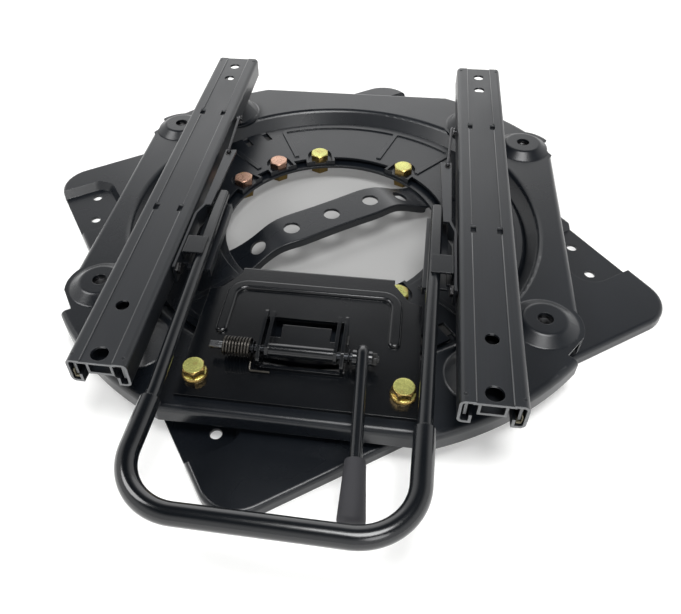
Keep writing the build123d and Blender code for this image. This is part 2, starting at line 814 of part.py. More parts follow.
def make_latch_plate():
    shoulder = 12.0
    outline = Polygon(
        (-latch_half_width, -latch_front), (latch_half_width, -latch_front),
        (latch_half_width, -latch_shoulder), (latch_tongue_half + shoulder, -latch_shoulder + 4),
        (latch_tongue_half, -latch_tongue_rear - 8), (latch_tongue_half, -latch_tongue_rear),
        (-latch_tongue_half, -latch_tongue_rear), (-latch_tongue_half, -latch_tongue_rear - 8),
        (-latch_tongue_half - shoulder, -latch_shoulder + 4), (-latch_half_width, -latch_shoulder), align=None)
    plate = slab(outline, latch_bottom, latch_top)
    plate += block((-latch_tongue_half, -latch_tongue_rear - latch_sheet, latch_bottom - latch_tongue_flange),
                   (latch_tongue_half, -latch_tongue_rear, latch_top))
    plate = fillet(plate.edges().filter_by(Axis.X).group_by(Axis.Y)[-1].group_by(Axis.Z)[-1], latch_sheet - 0.5)
    plate += latch_bead()
    window_half = pawl_half + pawl_sheet
    plate -= block((latch_centre_x - window_half, -latch_window_front, latch_bottom - 1),
                   (latch_centre_x + window_half, -latch_window_rear, latch_top + 1))
    for x in (-latch_bolt_x, latch_bolt_x):
        plate -= bar_z(flange_bolt_radius + bolt_gap, x, latch_bolt_y, latch_bottom - 1, latch_top + 1)
    return plate


def latch_bead():
    """Raised bead round the back and sides of the window, hollow underneath."""
    path = FilletPolyline((-latch_bead_half, -latch_bead_front), (-latch_bead_half, -latch_bead_rear),
                          (latch_bead_half, -latch_bead_rear), (latch_bead_half, -latch_bead_front),
                          radius=latch_bead_corner)
    outline = trace(path, line_width=latch_bead_width)
    for x in (-latch_bead_half, latch_bead_half):
        outline += Pos(x, -latch_bead_front) * Circle(latch_bead_width / 2)
    bead = slab(outline, latch_top - 0.5, latch_top + latch_bead_height)
    return fillet(bead.edges().group_by(Axis.Z)[-1], latch_bead_edge)


def make_latch_bolts():
    length = latch_top - deck_bottom + rail_nut_height + ring_bolt_tail
    return [Pos(x, latch_bolt_y, latch_top) * bolt(flange_bolt_flats, flange_bolt_head, flange_bolt_radius, length,
                                                   flange_bolt_flange_radius, flange_bolt_flange)
            for x in (-latch_bolt_x, latch_bolt_x)]


def make_latch_nuts():
    return [Pos(x, latch_bolt_y, deck_bottom) * nut(flange_bolt_flats, rail_nut_height, flange_bolt_radius)
            for x in (-latch_bolt_x, latch_bolt_x)]


# Release mechanism

def rounded_plate(points, x_low, x_high, radius):
    """Flat ear from an outline of (y, z) points, with rounded corners."""
    face = make_face(Polyline(*[(x_low, y, z) for y, z in points], close=True))
    face = fillet(face.vertices(), radius)
    return extrude(face, amount=x_high - x_low, dir=(1, 0, 0))


def make_latch_bracket():
    """Two ears and a low cross wall, standing on the latch plate."""
    ear = ((-ear_front, latch_top - ear_corner), (-ear_front, pivot_z), (pivot_y - 3, pivot_z + 7),
           (-ear_rear - 10, ear_top), (-ear_rear, ear_top), (-ear_rear - 3, latch_top - ear_corner))
    left = latch_centre_x - bracket_half
    right = latch_centre_x + bracket_half
    half = bracket_sheet / 2
    bracket = rounded_plate(ear, left - half, left + half, ear_corner)
    bracket += rounded_plate(ear, right - half, right + half, ear_corner)
    bracket -= block((left - half - 1, -ear_front - 1, 0), (right + half + 1, -ear_rear + 1, latch_top))
    bracket += block((left - half, -ear_front, latch_top), (right + half, -ear_front + bracket_sheet,
                                                            latch_top + bracket_wall))
    return bracket - bar_x(pivot_radius + tube_fit, left - 5, right + 5, pivot_y, pivot_z)


def make_catch_pawl():
    """Pawl with two arms, a web and two teeth that fall into the ring's notches."""
    low = ring_top + rib_height + tooth_gap
    web_bottom = latch_top + 1.5
    arm = ((pivot_y - 6, pivot_z + 1), (pivot_y - 3, pivot_z + 6), (-pawl_rear - 6, ear_top - 1),
           (-pawl_rear, ear_top - 1), (-pawl_rear + 1, ear_top - 4), (-pawl_rear - 3, web_bottom),
           (pivot_y + 5, web_bottom), (pivot_y - 5, pivot_z - 4))
    left = latch_centre_x - pawl_half
    right = latch_centre_x + pawl_half
    pawl = side_slab(arm, left, left + pawl_sheet) + side_slab(arm, right - pawl_sheet, right)
    pawl += block((left, pivot_y + 5, web_bottom), (right, -pawl_web_step, web_bottom + pawl_sheet))
    pawl += block((latch_centre_x - pawl_web_half, -pawl_web_step - 1, web_bottom),
                  (latch_centre_x + pawl_web_half, -pawl_rear - 1, web_bottom + pawl_sheet))
    pawl += bar_x(pawl_tube_radius, left, right, pivot_y, pivot_z)
    pawl += block((left, pivot_y + 2, web_bottom), (right, pivot_y + 6, pivot_z - 2))
    for side in (-1, 1):
        x = latch_centre_x + side * notch_spacing / 2
        pawl += block((x - tooth_width / 2, tooth_y - tooth_thickness / 2, low),
                      (x + tooth_width / 2, tooth_y + tooth_thickness / 2, web_bottom + 1))
    return pawl - bar_x(pivot_radius, left - 5, right + 5, pivot_y, pivot_z)


def make_pivot_rod():
    rod = bar_x(pivot_radius, pivot_left, pivot_right, pivot_y, pivot_z)
    rod -= block((pivot_left - 1, pivot_y - 5, pivot_z + 1.4), (pivot_left + 7, pivot_y + 5, pivot_z + 5))
    rod -= block((pivot_left - 1, pivot_y - 5, pivot_z - 5), (pivot_left + 7, pivot_y + 5, pivot_z - 1.4))
    rod += bar_x(pivot_radius + 0.9, pivot_right - 2.5, pivot_right, pivot_y, pivot_z)
    return rod


def make_latch_spring():
    """Torsion spring on the pivot rod: one leg to the rod, the other along the latch plate."""
    length = spring_turns * spring_pitch
    wire = Circle(spring_wire_radius)
    helix = Helix(pitch=spring_pitch, height=length, radius=spring_mean_radius, lefthand=True)
    place = Pos(spring_left, pivot_y, pivot_z) * Rot(0, 90, 0)
    coil = place * sweep(Plane(origin=helix @ 0, z_dir=helix % 0) * wire, path=helix, is_frenet=True)
    local_way = helix % 1
    way = Vector(local_way.Z, local_way.Y, -local_way.X)
    bottom = pivot_z - spring_mean_radius
    rest = latch_top + spring_wire_radius
    first = Vector(spring_left + length, pivot_y, bottom)
    bend = first + way * spring_leg_length
    path = FilletPolyline(first, bend, (bend.X, spring_leg_y, rest), (spring_leg_end, spring_leg_y, rest), radius=1.5)
    leg = sweep(Plane(origin=first, z_dir=way) * wire, path=path)
    foot = bar_z(spring_wire_radius, spring_left, pivot_y, bottom + spring_wire_radius,
                 pivot_z - pivot_radius - running_gap)
    return [coil, leg, foot]


def make_release_lever():
    """Bent rod welded to a hub on the pivot rod."""
    start, way, end = lever_line()
    foot = Vector(lever_x, start.Y, pivot_z - lever_hub_radius)
    path = FilletPolyline(foot, start, end, radius=lever_bend_radius)
    rod = sweep(Plane(origin=path @ 0, z_dir=path % 0) * Circle(lever_radius), path=path)
    hub = bar_x(lever_hub_radius, lever_x - lever_hub_length / 2, lever_x + lever_hub_length / 2, pivot_y, pivot_z)
    lever = rod + hub
    return lever - bar_x(pivot_radius, lever_x - 20, lever_x + 20, pivot_y, pivot_z)


def lever_line():
    """Straight part of the release lever, from its bend to its end."""
    start = Vector(lever_x, pivot_y + lever_foot_shift, lever_bend_z)
    end = Vector(lever_x + grip_side_shift, grip_end_y + 8, lever_end_z)
    return start, (end - start).normalized(), end


def make_lever_grip():
    """Tapered plastic grip on the lever's end."""
    start, way, end = lever_line()
    share = (grip_start_y - start.Y) / (end.Y - start.Y)
    first = start + (end - start) * share
    last = end + way * 8
    lower = Plane(origin=first, z_dir=way) * Circle(grip_start_radius)
    upper = Plane(origin=last, z_dir=way) * Circle(grip_end_radius)
    grip = loft([lower, upper])
    grip = fillet(grip.edges().group_by(Axis.Y)[0], 2.5)
    socket_length = (end - first).length
    socket = Plane(origin=first - way, z_dir=way) * Circle(lever_radius)
    return grip - extrude(socket, amount=socket_length + 1, dir=way)


# Towel-bar handle

def make_handle_tube():
    """Fat bent tube of the handle, with open ends for the legs."""
    path = FilletPolyline((-leg_front_x, handle_socket_y, handle_z), (handle_left, -handle_front, handle_z),
                          (handle_right, -handle_front, handle_z), (leg_front_x, handle_socket_y, handle_z),
                          radius=handle_corner)
    start = Plane(origin=path @ 0, z_dir=path % 0)
    tube = sweep(start * Circle(handle_tube_radius), path=path)
    bore = sweep(start * Circle(handle_tube_radius - handle_wall), path=path)
    return tube - bore


def make_handle_leg(side):
    """Thin leg from the lock lever to the socket of the handle tube."""
    tube_x = handle_right if side > 0 else handle_left
    mouth = Vector(side * leg_front_x, handle_socket_y, handle_z)
    tube_way = (Vector(tube_x, -handle_front, handle_z) - mouth).normalized()
    rear = Vector(side * leg_rear_x, leg_rear, handle_z)
    path = FilletPolyline(rear, mouth - tube_way * leg_bend_length, mouth + tube_way * leg_overlap,
                          radius=leg_bend_radius)
    leg = sweep(Plane(origin=path @ 0, z_dir=path % 0) * Circle(leg_radius), path=path)
    flat = block((-leg_rear_x - 20, leg_rear - leg_flat_length, handle_z + leg_radius - leg_flat),
                 (leg_rear_x + 20, leg_rear + 5, handle_z + leg_radius + 5))
    return fillet((leg - flat).edges().group_by(Axis.Y)[-1], 1.0)


# Lock levers and their small parts, drawn for the right side and mirrored for the left

def lever_outer_x():
    return wall_x - lock_lever_gap


def make_lock_lever():
    front_x = lever_outer_x() - lock_lever_sheet / 2
    rear_x = front_x - lock_lever_jog
    path = Polyline((rear_x, lock_lever_rear), (rear_x, jog_rear), (front_x, jog_front), (front_x, lock_lever_front))
    web = slab(trace(path, line_width=lock_lever_sheet), lock_lever_top - lock_lever_front_height, lock_lever_top)
    web -= block((rear_x - 5, jog_rear + 6, 0), (rear_x + 5, lock_lever_rear + 5, lock_lever_top - lock_lever_arm_height))
    outer = rear_x + lock_lever_sheet / 2
    arm = Polygon((outer, lock_lever_rear), (outer - arm_rear_width, lock_lever_rear),
                  (outer - arm_front_width, jog_rear), (outer, jog_rear), align=None)
    lever = web + slab(arm, lock_lever_top - lock_lever_sheet, lock_lever_top)
    comb_low = comb_z - lock_lever_sheet / 2
    comb_high = comb_z + lock_lever_sheet / 2
    tip = rail_spacing / 2 - lower_flange_width / 2 - running_gap
    root = wall_x + rail_sheet / 2
    lever += block((front_x, min(tooth_positions) - comb_margin, comb_low),
                   (root, max(tooth_positions) + comb_margin - 2, comb_high))
    for y in tooth_positions:
        lever += block((root - 1, y - tooth_width / 2 + 0.4, comb_low), (tip, y + tooth_width / 2 - 0.4, comb_high))
    for piece in leg_cradle(rear_x, front_x):
        lever += piece
    eye_x = outer - eye_from_edge
    eye = Pos(eye_x, wire_eye_y) * Rectangle(2 * eye_half_width, 2 * eye_half_length)
    lever -= slab(eye, lock_lever_top - 2 * lock_lever_sheet, lock_lever_top + 1)
    return lever - bar_x(hinge_pin_radius + tube_fit, front_x - 5, front_x + 5, hinge_y, hinge_z)


def leg_x(y):
    """Where the middle of the right leg is at one distance along the handle."""
    share = (y - leg_rear) / (handle_socket_y - leg_rear)
    return leg_rear_x + share * (leg_front_x - leg_rear_x)


def leg_cradle(rear_x, front_x):
    """Channel of the lock lever under the leg, with a flange on the leg's inner side."""
    top = handle_z - leg_radius - running_gap
    near = leg_radius + 2 * running_gap
    far = near + lock_lever_sheet
    ends = (cradle_front, cradle_rear)
    inner = [(leg_x(y) - far, y) for y in ends]
    flange = Polygon(*inner, *[(leg_x(y) - near, y) for y in reversed(ends)], align=None)
    floor = Polygon(*inner, (rear_x, cradle_rear), (rear_x, cradle_front), align=None)
    low = top - lock_lever_sheet
    half = lock_lever_sheet / 2
    return (
        slab(floor, low, top),
        slab(flange, low, low + cradle_flange),
        block((rear_x - 1, cradle_tie_front, low), (front_x, cradle_tie_rear, top)),
        block((rear_x - half, jog_rear + 2, low), (rear_x + half, cradle_rear,
                                                   lock_lever_top - lock_lever_arm_height + 1)),
    )


def make_lever_clip():
    """Sheet clip from the lock lever over the leg."""
    top = handle_z + leg_radius + running_gap
    outer = lever_outer_x() - lock_lever_sheet
    clip = block((clip_inner, clip_front, top), (outer, clip_rear, top + clip_sheet))
    clip += block((outer - clip_sheet, clip_front, hinge_z), (outer, clip_rear, top + clip_sheet))
    return fillet(clip.edges().filter_by(Axis.Y).group_by(Axis.Z)[-1].group_by(Axis.X)[-1], clip_sheet - 0.2)


def make_hinge_pin():
    inner_face = lever_outer_x() - lock_lever_sheet - running_gap
    pin = bar_x(hinge_pin_radius, inner_face, wall_x + rail_sheet, hinge_y, hinge_z)
    return pin + bar_x(hinge_head_radius, inner_face - hinge_head, inner_face, hinge_y, hinge_z)


def make_wire_spring():
    """Wire that runs from the lever's eye back to a hole in the rail's wall."""
    outer = lever_outer_x() - lock_lever_jog
    eye_x = outer - eye_from_edge
    drop = lock_lever_top - 2 * lock_lever_sheet
    path = FilletPolyline((eye_x, wire_eye_y, drop), (eye_x, wire_eye_y, wire_run_z),
                          (eye_x + 3, wire_anchor_y - 10, wire_run_z), (eye_x + 3, wire_anchor_y, wire_anchor_z),
                          (wall_x + rail_sheet - 0.5, wire_anchor_y, wire_anchor_z), radius=2.0)
    return sweep(Plane(origin=path @ 0, z_dir=path % 0) * Circle(wire_radius), path=path)


save("base_plate", in_base_frame(make_base_plate()))
save("lock_ring", in_base_frame(make_lock_ring()))
save("lower_slide_ring", make_slide_ring(track_top, lower_ring_top))
save("upper_slide_ring", make_slide_ring(lip_top, top_ring_top))
save("cable_strap", in_base_frame(make_cable_strap()))
save("ring_bolts", make_ring_bolts())
save("ring_nuts", make_ring_nuts())
save("turntable_plate", make_turntable_plate())
save("seat_nuts", make_seat_nuts())
save("rail_spacers", make_rail_spacers())
save("rail_bolts", make_rail_bolts())
save("rail_nuts", make_rail_nuts())
save("latch_plate", make_latch_plate())
save("latch_bolts", make_latch_bolts())
save("latch_nuts", make_latch_nuts())
save("latch_bracket", make_latch_bracket())
save("catch_pawl", make_catch_pawl())
save("pivot_rod", make_pivot_rod())
save("latch_spring", make_latch_spring())
save("release_lever", make_release_lever())
save("lever_grip", make_lever_grip())
save("handle_tube", make_handle_tube())
for name, side in (("left", -1), ("right", 1)):
    save(f"upper_rail_{name}", make_upper_rail(side))
    save(f"lower_rail_{name}", make_lower_rail(side))
    save(f"slide_shoes_{name}", make_slide_shoes(side))
    save(f"handle_leg_{name}", make_handle_leg(side))
for stem, shape in (("lock_lever", make_lock_lever()), ("lever_clip", make_lever_clip()),
                    ("hinge_pin", make_hinge_pin()), ("wire_spring", make_wire_spring())):
    right, left = both_sides(shape)
    save(f"{stem}_right", right)
    save(f"{stem}_left", left)
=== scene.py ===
import math

import bpy
from bpy.props import FloatProperty, FloatVectorProperty, PointerProperty
from bpy.types import NodeSocket, Operator, Panel, PropertyGroup
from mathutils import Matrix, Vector


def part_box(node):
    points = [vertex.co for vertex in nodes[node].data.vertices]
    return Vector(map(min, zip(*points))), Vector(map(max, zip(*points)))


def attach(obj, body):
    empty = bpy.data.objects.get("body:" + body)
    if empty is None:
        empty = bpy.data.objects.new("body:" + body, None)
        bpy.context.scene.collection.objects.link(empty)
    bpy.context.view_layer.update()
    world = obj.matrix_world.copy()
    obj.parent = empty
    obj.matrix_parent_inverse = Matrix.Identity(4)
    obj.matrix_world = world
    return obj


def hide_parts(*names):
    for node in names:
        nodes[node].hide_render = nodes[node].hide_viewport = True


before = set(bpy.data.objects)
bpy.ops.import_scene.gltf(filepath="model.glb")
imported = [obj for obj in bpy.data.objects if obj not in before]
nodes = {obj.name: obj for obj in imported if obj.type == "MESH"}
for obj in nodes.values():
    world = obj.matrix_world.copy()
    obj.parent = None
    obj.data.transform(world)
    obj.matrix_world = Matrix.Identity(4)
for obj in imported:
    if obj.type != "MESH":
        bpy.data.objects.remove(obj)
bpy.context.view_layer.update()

bl_info = {
    "name": "Swivel Seat Base",
    "version": (1, 0, 0),
    "blender": (4, 5, 0),
    "location": "View3D > Sidebar > Swivel Base",
    "description": "Finishes and fine parts of a swivel seat base with slide rails",
    "category": "Add Mesh",
}

# How far apart two points may be and still count as one place
SAME_PLACE = 0.0005
MERGE_GAP = 1e-6

# Edges that the shaders round
EDGE_RADIUS = 0.0007
BOLT_EDGE_RADIUS = 0.0004

# Floor, and the painted shade on the floor that shows through the opening
FLOOR_SIZE = 12.0
FLOOR_LEVEL = -0.0002
FLOOR_GLOW = 0.2
FAR_FLOOR_GLOW = 1.0
FLOOR_FADE = (0.6, 2.2)
OPENING_SHADE = 0.4
OPENING_FADE = (0.1, 0.13)

# World: bright walls up to one height of the gaze, and a dark ceiling from another
WALL_TOP = 0.5
CEILING_START = 0.8
WALL_STRENGTH = 1.0
CEILING_STRENGTH = 0.02
WHITE = (1.0, 1.0, 1.0, 1.0)

# Lamps: name, place, width and share of the lamp power
LAMP_TARGET = (0.0, 0.0, 0.03)
LAMPS = (
    ("back_lamp", (-0.3, 2.3, 0.95), 2.0, 1.0),
    ("key_lamp", (-1.3, -0.1, 1.6), 0.9, 1.6),
    ("top_lamp", (0.3, -0.4, 2.1), 1.0, 3.4),
    ("front_lamp", (0.8, -1.4, 1.3), 0.8, 0.8),
)

# Camera, as solved from the photograph
CAMERA_ACROSS = 0.0608
CAMERA_ALONG = -0.4956
CAMERA_TURN = (0.77794, 0.02724, 0.15085)
CAMERA_SENSOR = 36.0
CAMERA_LENS = 36.32
CAMERA_SHIFT = (0.0530, -0.0026)
CAMERA_NEAR = 0.01

# Colours that the settings don't hold
DUST = (0.11, 0.115, 0.12)
CUT_STEEL = (0.13, 0.135, 0.14)
# Painted highlight: a pale coat that makes the rail ridges read as bright lines
RIDGE_PAINTED_HIGHLIGHT = (0.06, 0.062, 0.064)
ROD_STEEL = (0.05, 0.05, 0.053)
PIVOT_STEEL = (0.04, 0.042, 0.046)
PIVOT_TIP = (0.16, 0.165, 0.17)
STOP_PLATE = (0.3, 0.28, 0.2)
STOP_GOLD = (0.2, 0.18, 0.13)
SHOE_PLASTIC = (0.03, 0.03, 0.03)
# Painted shade: the latch parts wear a darker copy of the pressing paint
LATCH_PAINTED_SHADE_SHARE = 0.45
# Painted shade: the nuts under the ring and the latch wear a darker copy of the plating
NUT_PAINTED_SHADE_SHARE = 0.35

# Places where a material changes: across the rod's tip and the pink bolts, and along the normal
PINK_LIMIT = (-0.048, -0.04)
BRIGHT_TIP = (-0.057, -0.056)
CUT_END = (-0.99, -0.94)
FACING_UP = (0.75, 0.98)
PLATE_METAL = (0.95, 0.55)

# Cable strap, drawn along X and then turned with the base plate
BASE_TURN = 36.5
STRAP_TOP = 0.030
STRAP_LOW = 0.013
STRAP_END = 0.118
STRAP_HALF_WIDTH = 0.0198
STRAP_SHEET = 0.0025
STRAP_BEND = 0.057
STRAP_FOOT = 0.093
STRAP_CUTS = (0.020, 0.041, 0.073, 0.108)
STRAP_ROWS = (0.008, 0.015, 0.018)
STRAP_RIM = (0.0025, 0.005)
STRAP_RIM_START = 0.0135
STRAP_RIM_END = 0.1
STRAP_WAIST = ((0.020, 0.93), (0.057, 0.84), (0.073, 0.74), (0.093, 0.9))
STRAP_HOLE_PITCH = 0.041
STRAP_END_HOLE = (0.075, 0.0215)
STRAP_SLOPE = 25.3

# Grip on the release lever
GRIP_START = (0.04725, -0.263, 0.04334)
GRIP_END = (0.04879, -0.30496, 0.03922)
GRIP_START_RADIUS = 0.0068
GRIP_END_RADIUS = 0.009
GRIP_END_ROUND = 0.0042
GRIP_EDGE_ROUND = 0.0007
GRIP_BORE_SHARE = 0.8
LEVER_RADIUS = 0.0043

# Threads in the outer bosses
BOSS_PLACES = ((-0.177, 0.128), (0.177, 0.128), (-0.177, -0.117), (0.177, -0.117))
THREAD_RADIUS = 0.0042
THREAD_PITCH = 0.00125
THREAD_TOOTH_SHARE = 0.52
THREAD_BOTTOM = 0.0275
THREAD_TURNS = 5
THREAD_STEPS = 32

# Washers and crimped end of the pivot rod
PIVOT = (-0.18, 0.044)
WASHERS = (("rod_washer_left", -0.0345), ("rod_washer_right", 0.0345))
WASHER_RADIUS = 0.0046
WASHER_SECTION = 0.0013
WASHER_FLATTEN = 0.5
WASHER_EDGE = 0.0002
CRIMP_PLACE = 0.0527
CRIMP_RADIUS = 0.0052
CRIMP_DEPTH = 0.0034
CRIMP_INSET = 0.0018
CRIMP_TIP = 0.0016
CRIMP_EDGE = 0.0005

# Flange bolts of the latch plate: across, along and turn in degrees
LATCH_BOLT_PLACES = ((-0.0745, -0.2, 12.0), (0.0745, -0.2, 38.0))
LATCH_PLATE_TOP = 0.034
BOLT_HEAD = 0.0088
BOLT_CHAMFER = 0.0013
BOLT_EDGE = 0.00025
BOLT_FLANGE_RADIUS = 0.0096
BOLT_FLANGE = 0.0022
BOLT_FLANGE_TAPER = 0.9
BOLT_FLANGE_EDGE = 0.0004
BOLT_SHANK_RADIUS = 0.004
BOLT_SHANK_CHAMFER = 0.0006
BOLT_OVERLAP = 0.001

# Weld beads: name, place, turn in degrees, body and slot
WELDS = (
    ("bracket_weld_1", (-0.0312, -0.156, 0.0343), 90.0, "turntable", "black_paint"),
    ("bracket_weld_2", (-0.0312, -0.183, 0.0343), 90.0, "turntable", "black_paint"),
    ("bracket_weld_3", (0.0312, -0.156, 0.0343), 90.0, "turntable", "black_paint"),
    ("bracket_weld_4", (0.0312, -0.183, 0.0343), 90.0, "turntable", "black_paint"),
    ("lever_weld_left", (-0.1045, -0.1245, 0.0655), 100.0, "handle", "handle_paint"),
    ("lever_weld_right", (0.1045, -0.1245, 0.0655), 80.0, "handle", "handle_paint"),
)
BEAD_RIPPLES = 7
BEAD_STEP_SHARE = 0.4
BEAD_SHAPE = (0.75, 1.0, 0.6)
BEAD_VOXELS = 12

# Hooks of the two wires, and the eyes that they hold
WIRE_ANCHOR = (0.1045, 0.098, 0.062)
WIRE_RADIUS = 0.00105
HOOK_RADIUS = 0.0031
HOOK_DROP = 0.0022
HOOK_PITCH = 0.0023
HOOK_TURNS = 2
HOOK_STEPS = 28
HOOK_TILT = 20.0
WIRE_EYE = (0.09945, 0.031, 0.068)
EYE_RADIUS = 0.0027
EYE_RIM = 0.0005
EYE_SHAPE = (0.85, 1.35, 0.8)

# Ridges rolled along the upper rails, broken at the stop slots
RAIL_MIDDLE = 0.130
RIDGE_HEIGHT = 0.0707
RIDGE_FROM_MIDDLE = 0.0115
RIDGE_RUNS = ((-0.2282, -0.0634), (-0.0532, 0.0909), (0.1011, 0.2107))
RIDGE_TAPER = 0.001
RIDGE_TIP_SHARE = 0.4

# End stops in the outer channels of the rails
STOP_PLACE = (0.147, -0.2235, 0.0522)
STOP_LENGTH = 0.008
STOP_WIDTH_SHARE = 0.45
STOP_RISE = (0.0, 0.0, 0.0065)
STOP_LIP = (-0.0008, 0.0, 0.0015)
STOP_SHEET = 0.0009
STOP_EDGE = 0.0003

SIDES = ((-1, "left"), (1, "right"))


# Settings

def colour_property(name, description, default):
    return FloatVectorProperty(name=name, description=description, default=default, size=3, min=0.0,
                               max=1.0, subtype="COLOR")


def length_property(name, description, default):
    return FloatProperty(name=name, description=description, default=default, min=0.0, precision=5,
                         unit="LENGTH")


class FinishSettings(PropertyGroup):
    paint: colour_property("Pressing paint", "Colour of the powder paint on the pressings",
                           (0.004, 0.0055, 0.008))
    rail: colour_property("Rail coat", "Colour of the dark coat on the slide rails", (0.005, 0.0065, 0.009))
    handle: colour_property("Handle paint", "Colour of the gloss paint on the handle",
                            (0.0035, 0.0045, 0.006))
    plating: colour_property("Bolt plating", "Main colour of the yellow zinc plate", (0.62, 0.62, 0.2))
    # Gold hue of the plating, also used darker on the bolts' flats as painted shade
    gold_and_side_shade: colour_property("Gold plating", "Colour of the plate on the flats of the bolts", (0.44, 0.3, 0.1))
    copper: colour_property("Pink plating", "Colour of the bolts whose plate turned pink", (0.6, 0.36, 0.26))
    spring: colour_property("Spring steel", "Colour of the oiled spring wire", (0.06, 0.056, 0.05))
    grip: colour_property("Grip plastic", "Colour of the moulded grip", (0.012, 0.012, 0.013))
    paint_roughness: FloatProperty(name="Paint roughness", description="Roughness of the powder paint",
                                   default=0.27, min=0.0, max=1.0, subtype="FACTOR")


class PieceSettings(PropertyGroup):
    strap_hole: length_property("Strap holes", "Radius of the five holes in the cable strap", 0.0075)
    bolt_flats: length_property("Bolt flats", "Width over the flats of the latch plate's bolts", 0.015)
    bead_width: length_property("Weld beads", "Width of the weld beads", 0.003)
    ridge_radius: length_property("Rail ridges", "Radius of the ridges along the upper rails", 0.0005)


class StageSettings(PropertyGroup):
    floor: colour_property("Floor", "Colour of the floor", (0.86, 0.86, 0.85))
    lamp_power: FloatProperty(name="Lamp power", description="Power that the lamps share out", default=9.0,
                              min=0.0, unit="POWER")
    camera_height: length_property("Camera height", "Height of the camera above the floor", 0.4182)


# Materials

def spread_in(tree, value, low, high, start, end):
    """Take a value from low to high as another one goes from start to end."""
    node = tree.nodes.new("ShaderNodeMapRange")
    for name, number in (("From Min", start), ("From Max", end), ("To Min", low), ("To Max", high)):
        node.inputs[name].default_value = number
    tree.links.new(value, node.inputs["Value"])
    return node.outputs["Result"]


class Shading:
    """Short names for building one node material."""

    def __init__(self, name):
        self.material = bpy.data.materials.new(name)
        self.material.use_nodes = True
        self.tree = self.material.node_tree
        self.shader = self.tree.nodes["Principled BSDF"]
        self.coordinates = self.tree.nodes.new("ShaderNodeTexCoord").outputs["Object"]

    def add(self, kind, **values):
        node = self.tree.nodes.new(kind)
        for key, value in values.items():
            setattr(node, key, value)
        return node

    def link(self, output, socket):
        self.tree.links.new(output, socket)

    def give(self, name, value):
        """Set one socket of the shader, or link it to an output."""
        socket = self.shader.inputs[name]
        if isinstance(value, NodeSocket):
            self.link(value, socket)
        else:
            socket.default_value = value

    def noise(self, scale, detail=2.0, roughness=0.5, stretch=None):
        source = self.coordinates
        if stretch:
            mapping = self.add("ShaderNodeMapping")
            mapping.inputs["Scale"].default_value = stretch
            self.link(source, mapping.inputs["Vector"])
            source = mapping.outputs["Vector"]
        node = self.add("ShaderNodeTexNoise")
        for name, number in (("Scale", scale), ("Detail", detail), ("Roughness", roughness)):
            node.inputs[name].default_value = number
        self.link(source, node.inputs["Vector"])
        return node.outputs["Fac"]

    def ramp(self, value, stops):
        node = self.add("ShaderNodeValToRGB")
        elements = node.color_ramp.elements
        while len(elements) < len(stops):
            elements.new(0.5)
        for element, (place, colour) in zip(elements, stops):
            element.position = place
            element.color = (*colour, 1.0)
        self.link(value, node.inputs["Fac"])
        return node.outputs["Color"]

    def spread(self, value, low, high, start=0.3, end=0.7):
        return spread_in(self.tree, value, low, high, start, end)

    def around(self, value, roughness, less, more):
        """Roughness that wanders a little below and above its own value."""
        self.give("Roughness", self.spread(value, roughness - less, roughness + more))

    def mix(self, factor, first, second):
        node = self.add("ShaderNodeMix", data_type="RGBA")
        self.link(factor, node.inputs["Factor"])
        for socket, value in ((node.inputs["A"], first), (node.inputs["B"], second)):
            if isinstance(value, tuple):
                socket.default_value = (*value, 1.0)
            else:
                self.link(value, socket)
        return node.outputs["Result"]

    def part_of(self, vector, axis):
        """One part of a vector."""
        parts = self.add("ShaderNodeSeparateXYZ")
        self.link(vector, parts.inputs["Vector"])
        return parts.outputs[axis]

    def facing(self, axis):
        """How far the surface faces along one axis."""
        return self.part_of(self.add("ShaderNodeNewGeometry").outputs["Normal"], axis)

    def soft_edges(self, radius):
        """Normals that round the sharp edges a little, as thick paint does."""
        node = self.add("ShaderNodeBevel", samples=6)
        node.inputs["Radius"].default_value = radius
        return node.outputs["Normal"]

    def bump(self, height, strength, distance, below=None):
        node = self.add("ShaderNodeBump")
        node.inputs["Strength"].default_value = strength
        node.inputs["Distance"].default_value = distance
        self.link(height, node.inputs["Height"])
        if below is not None:
            self.link(below, node.inputs["Normal"])
        return node.outputs["Normal"]


def shade(colour, amount):
    """The same colour, darker or lighter."""
    return tuple(min(1.0, part * amount) for part in colour)


def powder_paint(name, colour, roughness, dust=0.35, coat=0.0):
    """Smooth black paint with faint orange peel, soft dust and slightly worn gloss."""
    look = Shading(name)
    broad = look.noise(6.0, 4.0, 0.6)
    peel = look.noise(900.0)
    specks = look.noise(2600.0, 1.0)
    base = look.ramp(broad, ((0.3, shade(colour, 0.8)), (0.7, shade(colour, 1.25))))
    look.give("Base Color", look.mix(look.spread(specks, 0.0, dust, 0.68, 0.8), base, DUST))
    look.around(broad, roughness, 0.05, 0.08)
    look.give("Normal", look.bump(peel, 0.05, 0.0004, look.soft_edges(EDGE_RADIUS)))
    look.give("Coat Weight", coat)
    look.give("Coat Roughness", 0.12)
    return look.material


def rail_coat(name, colour, roughness, cut=None):
    """Dark phosphate coat with fine scuffs drawn along the rail, and a paler colour on ends that were cut."""
    look = Shading(name)
    broad = look.noise(5.0, 4.0, 0.6, (3.0, 1.0, 3.0))
    drawn = look.noise(260.0, 3.0, 0.6, (3.0, 0.06, 3.0))
    base = look.ramp(drawn, ((0.3, shade(colour, 0.8)), (0.75, shade(colour, 1.3))))
    if cut:
        base = look.mix(look.spread(look.facing("Y"), 1.0, 0.0, *CUT_END), base, cut)
    look.give("Base Color", base)
    look.around(broad, roughness, 0.05, 0.1)
    look.give("Normal", look.bump(drawn, 0.06, 0.0002, look.soft_edges(EDGE_RADIUS)))
    look.give("Coat Weight", 0.2)
    look.give("Coat Roughness", 0.3)
    return look.material


